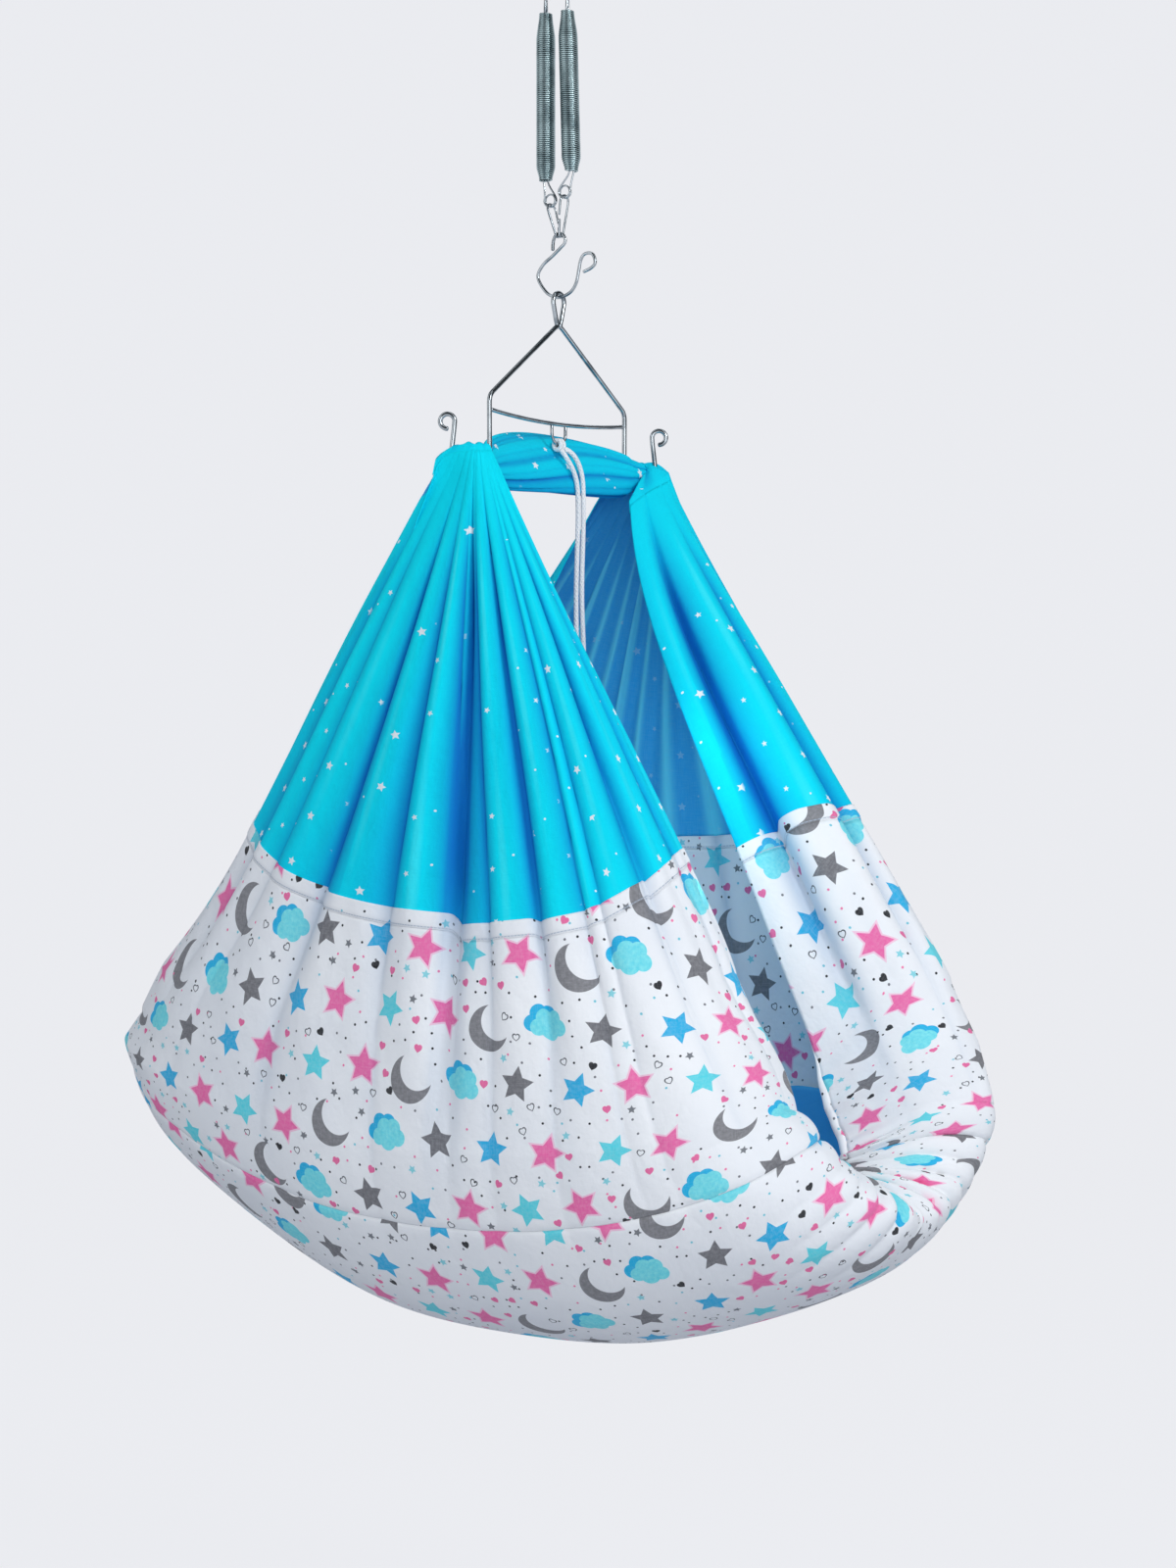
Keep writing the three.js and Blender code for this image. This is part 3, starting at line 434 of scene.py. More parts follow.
# Hooks of the springs: each top hook is a hairpin with a round eye, whose tips flare inside the coil.
# Each lower hook leaves the coil as a V and closes in an eye of a turn and two thirds.
play = 0.0003
hairpin_wire, hairpin_eye, hairpin_half_gap, hairpin_reach = 0.0026, 0.0065, 0.00155, 0.022
eye_wire, eye_radius, eye_sweep = 0.002, 0.0063, 600
for side, length, top_y, bottom_y, eye_y, eye_depth in spring_facts:
    eye_z = hairpin_wire / 2 - hairpin_eye
    tip = spring_top - hairpin_reach
    across_eye = hairpin_eye * np.sqrt(0.5)
    inner = coil_radius(bell(hairpin_reach / top_taper)) - spring_wire / 2
    half = [
        (inner - hairpin_wire / 2 - play, top_y, tip),
        (hairpin_half_gap, top_y, tip + 0.0147),
        (hairpin_half_gap, top_y, spring_top + 0.0021),
        (hairpin_half_gap, top_y, eye_z - hairpin_eye - 0.0026),
        (across_eye, top_y, eye_z - across_eye),
        (hairpin_eye, top_y, eye_z),
        (across_eye, top_y, eye_z + across_eye),
    ]
    mirrored = [(-x, y, z) for x, y, z in reversed(half)]
    path = smooth([*half, (0, top_y, eye_z + hairpin_eye), *mirrored], 8)
    top_hook = bar(f"hairpin_{side}", path, hairpin_wire / 2, 14, level=(0, 1, 0))
    dress(top_hook, zinc, "zinc", "spring_pair", f"top_hook_{side}")
    coil_end = spring_top - length
    drift = 0.0025 * eye_sweep / 360
    share = np.linspace(0, 1, 81)
    angle = np.radians(150) + np.radians(eye_sweep) * share
    eye_points = [drift * (share - 0.5), -eye_radius * np.cos(angle), eye_radius * np.sin(angle)]
    turn = np.stack(eye_points, 1) + (0, eye_y, -eye_depth)
    ends = [
        [(-drift / 2, bottom_y + 0.0042, coil_end + 0.009), (-drift / 2, bottom_y + 0.00125, coil_end)],
        [(drift / 2, bottom_y - 0.00125, coil_end), (drift / 2, bottom_y - 0.0042, coil_end + 0.009)],
    ]
    joined = smooth(np.vstack([ends[0], turn[::5], ends[1]]), 5)
    lower_hook = bar(f"wire_eye_{side}", joined, eye_wire / 2, 12, level=(1, 0, 0))
    dress(lower_hook, zinc, "zinc", "lower_hooks", f"lower_hook_{side}")

# Links: two long hooks of 2.4 mm wire, each bent back beside itself, between the springs' eyes and the
# eye of the S-hook.
link_wire, wide_bend, tight_bend = 0.0024, 0.007, 0.0034
s_hook_wire, s_hook_eye, s_hook_top, s_hook_y = 0.0035, 0.0075, -0.2575, -0.001


def arc(centre, right, up, radius, first, last, steps):
    """Points of an arc: the centre plus the radius times cosine along right and sine along up."""
    angle = np.linspace(first, last, steps + 1)[:, None]
    return centre + radius * (np.cos(angle) * right + np.sin(angle) * up)


for sign, (side, _, _, _, eye_y, eye_depth) in zip((-1, 1), spring_facts):
    lean = sign * 0.0017
    top = np.array([0, eye_y, -(eye_depth + eye_radius - (link_wire + eye_wire) / 2 - 0.0005)])
    reach = s_hook_eye - (link_wire + s_hook_wire) / 2 - play
    bottom = np.array([0, s_hook_y - lean, s_hook_top - s_hook_eye + np.sqrt(reach**2 - lean**2)])
    length = np.linalg.norm(bottom - top)
    down = (bottom - top) / length
    across = np.array([sign, 0, 0])
    top_bend = arc(top + down * wide_bend, across, -down, wide_bend, np.pi, 0, 16)
    low_bend = arc(top + down * (length - tight_bend), across, -down, tight_bend, 0, -np.pi, 12)
    tail = top - across * 0.0065 + down * 0.020
    mouth = top - across * 0.0052 + down * 0.025
    path = smooth(np.vstack([[tail], top_bend, low_bend, [mouth]]), 4)
    link = bar(f"wire_link_{side}", path, link_wire / 2, 12, level=(0, 1, 0))
    dress(link, zinc, "zinc", "links", f"link_{side}")

# S-hook: one bent wire of 3.5 mm, with an eye above and an open bowl with a curled tip below. Its outline
# is in shares of its width and height, from the middle and the top of the eye.
s_hook_width = 0.0707
s_hook_height = 0.0651
s_hook_aside = np.array(
    [-0.116, -0.113, -0.1, -0.062, 0, 0.062, 0.1, 0.094, 0.037, -0.116, -0.293, -0.379, -0.293]
    + [-0.16, 0.014, 0.202, 0.291, 0.335, 0.373, 0.424, 0.499, 0.58, 0.621, 0.621, 0.552, 0.431]
)
s_hook_fall = np.array(
    [0.246, 0.16, 0.09, 0.022, 0, 0.022, 0.09, 0.155, 0.21, 0.338, 0.475, 0.637, 0.828]
    + [0.955, 1, 0.926, 0.806, 0.631, 0.453, 0.369, 0.346, 0.369, 0.453, 0.524, 0.584, 0.631]
)
s_hook_path = np.zeros((len(s_hook_aside), 3))
s_hook_path[:, 1] = s_hook_y - s_hook_aside * s_hook_width
s_hook_path[:, 2] = s_hook_top - s_hook_fall * s_hook_height
s_hook = bar("s_hook_wire", smooth(s_hook_path, 8), s_hook_wire / 2, 16, level=(1, 0, 0))
dress(s_hook, zinc, "zinc", "s_hook", "s_hook")

# Hanger: one bent 5 mm rod. A loop on top rides on the bowl of the S-hook, two shoulders lead to two
# legs, and each leg ends in a J-hook that is turned out of the hanger's plane and curled at its tip.
rod = 0.005
crown_depth = 0.31805
pinch_depth = crown_depth + 0.034
shoulder_depth = pinch_depth + 0.0797
crook_depth = shoulder_depth + 0.0653
leg_x = 0.120
crown_radius = 0.0095
curl_radius = 0.0073
bend_reach = 0.007
pinch_half_gap = 0.00295
hook_turn = np.radians(62.7)
hook_spans = {"left": 0.039, "right": 0.033}
hook_signs = {"left": -1, "right": 1}
upward = np.array([0, 0, 1.0])


def hook_plan(side):
    """The leg's place, the direction in which the J-hook opens, its stem's place, and the direction across
    it, away from the cradle."""
    sign = hook_signs[side]
    leg = np.array([sign * leg_x, 0, 0])
    out = np.array([sign * np.cos(hook_turn), -sign * np.sin(hook_turn), 0])
    outward = np.array([sign * np.sin(hook_turn), sign * np.cos(hook_turn), 0])
    return leg, out, leg + out * hook_spans[side], outward


def hanger_half(side):
    """One half of the rod, from the crown's loop to the curled tip."""
    sign, span = hook_signs[side], hook_spans[side]
    leg, out, _, _ = hook_plan(side)
    across = np.array([sign, 0, 0])
    pinch = np.array([sign * pinch_half_gap, 0, -pinch_depth])
    shoulder = leg - upward * shoulder_depth
    diagonal = unit(shoulder - pinch)
    t = np.linspace(0, 1, 9)[:, None]
    bend_start, bend_end = shoulder - diagonal * bend_reach, shoulder - upward * bend_reach
    bend = (1 - t) ** 2 * bend_start + 2 * t * (1 - t) * shoulder + t**2 * bend_end
    crook = leg + out * span / 2 - upward * crook_depth
    curl = leg + out * (span - 0.004 + curl_radius) - upward * (crook_depth - 0.0395)
    centre = -upward * (crown_depth + crown_radius)
    throat = centre + (pinch - centre) * 2 / 3 + across * crown_radius / 3
    return np.vstack(
        [
            arc(centre, across, upward, crown_radius, np.pi / 3, -np.pi / 9, 6),
            [throat, pinch, pinch + diagonal * rod],
            bend,
            arc(crook, out, upward, span / 2, np.pi, 2 * np.pi, 16),
            arc(curl, out, upward, curl_radius, np.pi, np.pi - np.radians(268), 18),
        ]
    )


hanger_path = np.vstack([hanger_half("left")[::-1], [-upward * crown_depth], hanger_half("right")])
level = np.array([0.25, 1, 0.02])
hanger = bar("hanger_rod", smooth(hanger_path, 4), rod / 2, 18, level=level)
dress(hanger, zinc, "zinc", "cradle", "hanger_frame")

# Crossbar and bail: a 4.4 mm rod welded between the legs and bowed down in its middle, and under it a
# small U of wire for the pull cord.
crossbar_depth = shoulder_depth + 0.0143
crossbar_end = leg_x - rod / 2 - play
crossbar_radius = 0.0022


def crossbar_z(x):
    """The bar's height: its bow falls with the square of the distance from its end."""
    return -crossbar_depth - 0.006 * (1 - (x / crossbar_end) ** 2)


bar_x = np.linspace(-crossbar_end, crossbar_end, 33)
crossbar = bar("crossbar_rod", np.stack([bar_x, 0 * bar_x, crossbar_z(bar_x)], 1), crossbar_radius, 16)
dress(crossbar, zinc, "zinc", "cradle", "crossbar")
bail_radius = 0.012
bail_wire = 0.0034
bail_top = crossbar_z(bail_radius) - crossbar_radius - play
bail_centre = np.array([0, 0, bail_top - 0.0205 + bail_radius + bail_wire / 2])
bail_path = np.vstack(
    [
        [(-bail_radius, 0, bail_top)],
        arc(bail_centre, np.array([1, 0, 0]), upward, bail_radius, -np.pi, 0, 24),
        [(bail_radius, 0, bail_top)],
    ]
)
bail = bar("bail_wire", bail_path, bail_wire / 2, 14, level=(0, 1, 0))
dress(bail, zinc, "zinc", "cradle", "cord_bail")

# Walls: the cotton falls from each J-hook in fanning folds to a wide pouch. A place on it is a share
# across, from -1 at its back edge to 1 at its front edge, and a share down: 0 at the rim over the hook,
# 1 at the widest line and 2 at the keel.
pouch_depth = 0.888
pouch_half_width = 0.225
pouch_half_length = 0.470
neck_depths = {"left": 0.480, "right": 0.492}
width_shares = [1, 0.987, 0.911, 0.756, 0.467, 0.2, 0.036]
length_shares = [0, 0.309, 0.613, 0.851, 1, 0.904, 0.694]
short_length_shares = [0, 0.275, 0.5, 0.64, 0.69, 0.7, 0.694]
drop_shares = [0.721, 0.714, 0.7, 0.68, 0.667, 0.687, 0.771]
keel_length_shares = [0, 0.298, 0.585, 0.834, 0.949, 0.872, 0.71]
keel_drop_shares = [1, 0.988, 0.941, 0.876, 0.811, 0.783, 0.777]
sags = {"left": (-0.010, -0.024), "right": (0.060, 0.004)}
back_waist = 0.024
pull_peak = 27 / 256
end_drops = {"left": 0.024, "right": 0.055}
seam_shapes = {"left": (0.728, 0.022, 0.167), "right": (0.600, 0.0, 0.030)}
rim_crowding = {"left": 1.5, "right": 1.0}
rim_gap = 0.011
free_edge = 0.97
back_slimness = 0.25
mouth_opening = 0.020
roundings = {"left": 0.13, "right": 0.20}
hang_tilt = 0.03
keel_tilt = 0.035
pouch_shift = 0.020
cotton = 0.0012


def half_line(widths, runs, drops):
    """Points of a line from the middle of the wall to its front edge, from their shares of its sizes."""
    return np.stack([widths, runs, drops], 1) * (pouch_half_width, -pouch_half_length, -pouch_depth)


def whole_line(front, back):
    """A line from the back edge to the front edge: the back half is mirrored in Y."""
    return np.vstack([back[:0:-1] * (1, -1, 1), front])


long_half = half_line(width_shares, length_shares, drop_shares)
short_half = half_line(width_shares, short_length_shares, drop_shares)
keel_half = half_line([0] * 7, keel_length_shares, keel_drop_shares)
shoulder_lines = {
    "left": whole_line(short_half, long_half),
    "right": whole_line(long_half, long_half),
}
keel_line = whole_line(keel_half, keel_half)


def rim_points(side):
    """The rim's points over the J-hook, from back to front, round the outside of its wire."""
    leg, out, stem, outward = hook_plan(side)
    middle = (leg + stem) / 2 + outward * rim_gap
    if side == "left":
        beside_stem = stem + out * rim_gap / 2 + outward * rim_gap / 2
        return [beside_stem, middle, leg + outward * rim_gap * 2 / 3]
    past_stem = stem + out * rim_gap
    tucked = stem + (leg - stem) * 0.8 - outward * 0.015
    return [leg - out * rim_gap, middle, past_stem + outward * rim_gap / 2, past_stem, tucked]


rims = {side: np.array(rim_points(side)) for side in ("left", "right")}


def bent_form(side, across, down):
    """The cloth's form before its widest line is rounded. Above that line a point is on the straight line
    from the rim to it, less a sag that grows with the fourth power of the share across, and a waist at the
    back. The rim's points crowd towards the leg. Below it the section is an oval quarter, whose width goes
    with a cosine and whose drop with a sine, both to a power that makes the back slimmer. Near the widest
    line the front is moved out, which opens the mouth."""
    sign = hook_signs[side]
    share = (across + 1) / 2
    rim = through(rims[side], 1 - (1 - share) ** rim_crowding[side])
    shoulder = through(shoulder_lines[side], share, power=0)
    keel = through(keel_line, share, power=0)
    shoulder = shoulder * (sign, 1, 1)
    fall = np.minimum(down, 1)[..., None]
    front_sag, back_sag = sags[side]
    bulge = fall[..., 0] * (1 - fall[..., 0]) ** 3 / pull_peak
    waist = fall[..., 0] ** 3 * (1 - fall[..., 0]) / pull_peak
    upper = rim + (shoulder - rim) * fall
    upper[..., 0] -= sign * np.where(across > 0, front_sag, back_sag) * bulge * across**4
    upper[..., 1] -= np.where(across < 0, back_waist, 0) * waist * np.sin(0.75 * np.pi * across) ** 2
    angle = np.clip(down - 1, 0, 1) * np.pi / 2
    power = 0.9 + back_slimness * bell(-across)
    out, drop = np.maximum(np.cos(angle), 0) ** power, np.sin(angle) ** power
    lower = np.stack(
        [
            shoulder[..., 0] * out,
            keel[..., 1] + (shoulder[..., 1] - keel[..., 1]) * (1 - np.sin(angle)),
            shoulder[..., 2] + (keel[..., 2] - shoulder[..., 2]) * drop,
        ],
        -1,
    )
    point = np.where(down[..., None] <= 1, upper, lower)
    point[..., 1] += pouch_shift * fall[..., 0]
    lips = bell((down - 0.72) / 0.33) * (1 - bell((down - 1.05) / 0.85)) * bell((across - 0.35) / 0.6)
    point[..., 0] += sign * mouth_opening * lips
    neck = neck_depths[side] * (1 - fall[..., 0]) + neck_depths["right"] * fall[..., 0]
    tilt = hang_tilt * fall[..., 0] + keel_tilt * np.sin(angle)
    point[..., 2] += tilt * point[..., 1] - neck
    return point


def hung_form(side, across, down):
    """The smooth form of the cloth: the mean of three points of the bent form, one of them at the place and
    the others up and down the cloth from it near the widest line, which rounds that line."""
    spread = roundings[side] * bell(1 - np.abs(down - 1) / 0.4)
    return sum(bent_form(side, across, down + spread * step) for step in (-1, 0, 1)) / 3


# The folds. Each pleat is an arch between two valleys that run down from the hook. A valley has its share
# across, and the pleat after it has its height; a tall pleat next to a low one makes a knife edge.
pleats = {
    "left": (
        [-1, -0.74, -0.52, -0.40, -0.225, -0.07, 0.045, 0.115, 0.225, 0.345, 0.395, 0.55, 0.74, 0.90, 1],
        [0.4, 0.5, 0.35, 0.6, 1.0, 1.1, 0.8, 0.9, 0.9, 0.5, 0.8, 0.7, 0.5, 0.4, 0.4],
    ),
    "right": (
        [-1, -0.86, -0.72, -0.60, -0.49, -0.39, -0.31, -0.23, -0.15]
        + [-0.07, 0.02, 0.12, 0.26, 0.43, 0.58, 0.72, 0.88, 1],
        [0.5, 0.6, 0.8, 0.6, 0.8, 0.6, 0.8, 0.6, 0.7, 0.6, 0.8, 0.9, 1.0, 0.9, 0.8, 1.0, 0.8, 0.4],
    ),
}
fold_ends = {"left": 0.30, "right": 0.12}
deep_valleys = {
    "left": [(0.045, 0.018, 0.030), (0.225, 0.006, 0.022), (0.55, 0.005, 0.022), (-0.225, 0.006, 0.030)],
    "right": [(0.88, 0.012, 0.026), (0.58, 0.004, 0.022), (-0.15, 0.005, 0.014), (-0.39, 0.005, 0.014)],
}


def pleat_arch(side, across, down):
    """The share of a pleat's height, from 0 in its valleys to 1 on its ridge: the sine of its share of the
    way between its two valleys, to a power that keeps the valleys sharp. The ridge leans to the back, and
    each valley wanders a little as it runs down. The other results are the pleat's own height and the
    share of the way."""
    places, heights = np.array(pleats[side])
    wander = 0.012 * np.sin(4.5 * down + 9 * across) * bell((1 - np.abs(across)) / 0.2)
    place = np.clip(across + wander, -0.9999, 0.9999)
    index = np.searchsorted(places, place) - 1
    low, high = places[index], places[index + 1]
    share = ((place - low) / (high - low)) ** 0.82
    return np.sin(np.pi * share) ** 0.72, heights[index], share


def pressed_line(line, width, across, down, front=1.0):
    """1 on the line of a pressed valley and towards 0 beside it: a bell that is steep on its back side. The
    line wanders a little as it runs down, and the valley widens."""
    centre = line + 0.012 * np.sin(3 * down + 20 * line)
    offset = (across - centre) / (width * (0.6 + 0.8 * down))
    return np.exp(-np.abs(np.where(offset < 0, 2.4, front) * offset) ** 1.4)


def small_gathers(down):
    """The finest gathers, from -1 to 1: a wave down whose length varies."""
    return np.sin(96 * down + 2.3 * np.sin(11 * down))


def fold_height(side, across, down):
    """How far the cloth stands out of its smooth form. Pleats grow below the hook and fade past the widest
    line, and a few valleys are pressed deeper, each a bell about its line. Gathers are a wave down, which
    grows towards the puckered edge."""
    arch, height, _ = pleat_arch(side, across, down)
    grow = 0.04 + 0.96 * bell(down / 0.55)
    flat_share = 1 - fold_ends[side]
    fade = 1 - flat_share * bell((down - 0.60) / 0.45) - (1 - flat_share) * bell((down - 1.05) / 0.5)
    main = (0.0125 * arch * height - 0.0060) * grow * fade
    main += 0.0030 * np.sin(6.5 * across + 0.9) * (1 - bell(down / 0.4)) * bell(down / 0.06)
    second = np.sin(61 * across + 5 * np.sin(3 * down) + 2 * np.sin(9 * across))
    main += 0.0012 * second * bell((down - 0.12) / 0.4) * (1 - bell((down - 0.7) / 0.5))
    window = bell(down / 0.3) * (1 - bell((down - 0.62) / 0.5))
    for line, depth, width in deep_valleys[side]:
        main = main - depth * window * pressed_line(line, width, across, down)
    pucker = bell((down - 0.72) / 0.3)
    edge = np.abs(across)
    swing = 17 * down + 2.4 * np.sin(4 * down) + np.sign(across) * 0.7 + 1.6 * edge
    long_wave = (1.7 * np.abs(np.sin(swing)) ** 0.6 - 1.15) * (1 + 0.5 * np.sin(7.3 * down + 1))
    keel_fade = 1 - 0.5 * bell((down - 1.8) / 0.2)
    gathers = 0.0054 * long_wave * bell((edge - 0.36) / 0.50)
    gathers += 0.0022 * small_gathers(down) * bell((edge - 0.84) / 0.12)
    soft = 0.0026 * np.sin(9 * across + 5 * down) * np.sin(4 * down - 3 * across) * bell((down - 0.9) / 0.4)
    dip = -0.0016 * np.exp(-(((down - 1.3) / 0.012) ** 2))
    return main + pucker * gathers * keel_fade + soft * (1 - bell((down - 1.7) / 0.3)) + dip


def painted_fold_light_of(side, across, down):
    """The painted shade and painted highlight of the folds. How deep a place lies in its valley gives painted
    shade, up to 1 in the deepest valleys, and one flank of each pleat gets a little more. On the ridges it
    falls below 0, which gives a painted highlight in streaks."""
    arch, height, share = pleat_arch(side, across, down)
    round_arch = np.sin(np.pi * share)
    painted_flank_shade = bell((share - 0.45) / 0.5) * 0.12
    shade = ((1 - arch) ** 1.5 * 0.5 + (1 - round_arch) * 0.42 + painted_flank_shade) * (0.25 + 0.75 * height)
    streak = 0.7 + 0.3 * np.sin(13 * down + 31 * across)
    painted_highlight = 0.34 * round_arch**8 * height * streak * np.exp(-(((share - 0.42) / 0.16) ** 2))
    for line, depth, width in deep_valleys[side]:
        shade += depth / 0.012 * pressed_line(line, width, across, down, front=0.8)
    fading = 0.55 * bell((down - 0.6) / 0.3) + 0.45 * bell((down - 0.95) / 0.5)
    window = bell((down - 0.03) / 0.22) * (1 - fading)
    return (np.clip(shade, 0, 1) - np.where(shade < 0.2, painted_highlight, 0)) * window


def cloth(side, across, down, rise=0.0):
    """Points of the cloth: its smooth form, moved along the form's outward normal by its folds and by a
    rise. The normal is the cross product of two short steps on the form."""
    across, down = np.broadcast_arrays(np.asarray(across, float), np.asarray(down, float))
    step = 0.004
    ahead = np.where(down < 1.99, step, -step)
    inner = np.where(across < 0, step, -step)
    here = hung_form(side, across, down)
    sideways = (hung_form(side, across + inner, down) - here) * np.sign(inner)[..., None]
    below = (hung_form(side, across, down + ahead) - here) * np.sign(ahead)[..., None]
    normal = unit(np.cross(sideways, below)) * hook_signs[side]
    height = fold_height(side, across, down) + rise
    return here + normal * height[..., None]


def flat_map(grid, turn=0.0):
    """Where each point was on the flat cloth. Each row is laid out from its middle at its true lengths, and
    leans on the flat by its turn, an angle for each place. The middles follow one another down."""
    middle = grid.shape[1] // 2
    turn = np.broadcast_to(turn, grid.shape[:2])
    turn = (turn[:, 1:] + turn[:, :-1]) / 2
    steps = np.diff(lengths(grid, 1), axis=1)
    steps = np.stack([steps * np.cos(turn), -steps * np.sin(turn)], -1)
    places = np.insert(np.cumsum(steps, axis=1), 0, 0, axis=1)
    places = places - places[:, [middle]]
    places[..., 1] -= lengths(grid, 0)[:, [middle]]
    return places


def row_turn(form):
    """How far the rows of a wall turn within the cloth from their middle: the steps of a row's direction
    along the cloth's downward side, summed up, and the mean of that over the rows."""
    ahead = unit(np.gradient(form, axis=1))
    beside = unit(np.cross(np.cross(ahead, np.gradient(form, axis=0)), ahead))
    turn = np.cumsum((np.gradient(ahead, axis=1) * beside).sum(-1), axis=1)
    return np.clip((turn - turn[:, [form.shape[1] // 2]]).mean(0), -1.1, 1.1)


def cloth_sheet(name, grid, flat, thickness=cotton, around=False):
    """A sheet of cloth over a grid, thickened to both sides of it."""
    piece = grid_piece(name, grid, flat, around)
    solid = piece.modifiers.new("thickness", "SOLIDIFY")
    solid.thickness = thickness
    solid.offset = 0
    return piece


def face_out(piece, outward):
    """Turns a sheet's faces to a side, and gives the other side of its thickness the second material."""
    mesh = piece.data
    normals = np.empty(3 * len(mesh.polygons), np.float32)
    mesh.polygons.foreach_get("normal", normals)
    if (normals.reshape(-1, 3) @ outward).sum() < 0:
        mesh.flip_normals()
    piece.modifiers["thickness"].material_offset = 1


def add_shares(piece, name, shares):
    """Stores a number at each point, which a material reads by its name."""
    shares = np.asarray(shares, np.float32).ravel()
    piece.data.attributes.new(name, "FLOAT", "POINT").data.foreach_set("value", shares)


def seam_line(side, across):
    """The share down of the seam: it rises towards both edges with the square of the share across, and
    steps a little where one pleat laps over the next."""
    middle, tilt, rise = seam_shapes[side]
    laps, drops, _ = np.array(deep_valleys[side]).T
    step = (0.9 * drops * (bell((across[..., None] - laps) / 0.018 + 0.5) - 0.5)).sum(-1)
    return middle + tilt * across - rise * across**2 + step


def wall_top(side, across):
    """The share down of the wall's top edge, which drops at the end past the hook's stem with the fourth
    power of the share across."""
    return 0.012 + end_drops[side] * np.maximum(hook_signs[side] * across, 0) ** 4


cloth_columns = np.linspace(-free_edge, free_edge, 401)

star_cotton, start, flat, place = new_finish("star_cotton")
u, v, _ = flat.axes()


def weave_of(u, v):
    """A plain weave: threads over and under each other, the product of two fine waves."""
    return (u * 5200).math("SINE") * (v * 5200).math("SINE")


def slub_of(flat):
    """Thick and thin threads, from 0 to 1: the mean of a noise drawn out across the cloth and one down it."""
    return flat.stretched(60, 900).noise(1.0) * 0.5 + flat.stretched(900, 60).noise(1.0) * 0.5


def relief_of(flat, place, u, v):
    """The height of the cloth's face: soft crumples, finer ones and the weave."""
    fine = flat.stretched(1.0, 0.45).noise(120, 3.0)
    return place.noise(38, 5.0) * 2.2 + fine * 0.5 + weave_of(u, v) * 0.05


def cells(u, v, pitch, seed, brick, jitter):
    """Splits the cloth into square cells, with each row shifted by a share of a cell. The result is the
    place in the cell in metres from its middle, which chance moves by up to half the jitter, then the
    cell's number across and down, and three chances."""
    row = (v / pitch).math("FLOOR")
    shifted = u / pitch + row * brick
    column = shifted.math("FLOOR")
    corner = u.node("ShaderNodeCombineXYZ", inputs={0: column + seed, 1: row - seed, 2: float(seed)})
    chances = u.node("ShaderNodeTexWhiteNoise", inputs={"Vector": corner}, output="Color").axes()
    x = (shifted - column - 0.5) * pitch - (chances[0] - 0.5) * jitter
    y = (v / pitch - row - 0.5) * pitch - (chances[1] - 0.5) * jitter
    return x, y, column, row, chances


def far_off(x, y):
    """How far a place is from the middle."""
    return (x * x + y * y).math("SQRT")


def turned(x, y, angle):
    """A place turned about the cell's middle."""
    cosine, sine = angle.math("COSINE"), angle.math("SINE")
    return x * cosine + y * sine, y * cosine - x * sine


def inside(distance, blur=0.0003):
    """1 inside an outline and 0 outside it, with a soft printed edge."""
    return distance.ramp(blur, -blur)


def star_distance(x, y, radius):
    """How far a place is outside a five-pointed star: its angle is folded into one tenth of a turn, and
    the star's edge is a straight line from the outer point to the inner one."""
    tenth = np.pi / 5
    distance = far_off(x, y)
    angle = x.math("ARCTAN2", y)
    folded = abs((angle + tenth) % (2 * tenth) - tenth)
    inner = radius * 0.5
    edge = np.array([inner * np.cos(tenth) - radius, inner * np.sin(tenth)])
    normal = np.array([edge[1], -edge[0]]) / np.hypot(*edge)
    along, aside = distance * folded.math("COSINE"), distance * folded.math("SINE")
    return along * float(normal[0]) + aside * float(normal[1]) - float(radius * normal[0])


def star_lattice(u, v):
    """White stars in columns down the cloth, large and small by turns, and dots between them. Where the cloth
    is gathered the columns close up, the stars keep their size, and some lie hidden in the pleats. The stars
    are also left out where the painted shade of the valleys is deepest. None is seen on the crushed cloth by
    the hook."""
    gather, painted_fold_light = u.stored("gather"), u.stored("painted_fold_light")
    column_pitch, row_pitch, crushed = 0.042, 0.053, 0.075
    large_radius, small_radius, dot_radius = 0.0048, 0.0030, 0.0011
    mask = 0.0
    for shift in (0.0, 0.5):
        place = u / column_pitch + shift
        column = place.math("FLOOR")
        odd = column % 2.0
        fall = v / row_pitch + odd * 0.5 + shift * 0.6
        row = fall.math("FLOOR")
        corner = u.node("ShaderNodeCombineXYZ", inputs={0: column + 3.0, 1: row, 2: shift})
        chances = u.node("ShaderNodeTexWhiteNoise", inputs={"Vector": corner}, output="Color").axes()
        x = ((place - column - 0.5) * column_pitch - (chances[0] - 0.5) * 0.004) * gather
        y = (fall - row - 0.5) * row_pitch - (chances[1] - 0.5) * 0.005
        if shift:
            one = inside(far_off(x, y) - dot_radius) * (chances[2] > 0.4)
        else:
            x, y = turned(x, y, (chances[2] - 0.5) * 1.2)
            large = inside(star_distance(x, y, large_radius), 0.0004)
            small = inside(star_distance(x, y, small_radius), 0.0004)
            one = odd * small + (1.0 - odd) * large
        mask = one * ((chances[1] * 0.85 + 0.1) < gather) + mask
    return mask * (1.0 - painted_fold_light.ramp(0.4, 0.65)) * (abs(v) > crushed)
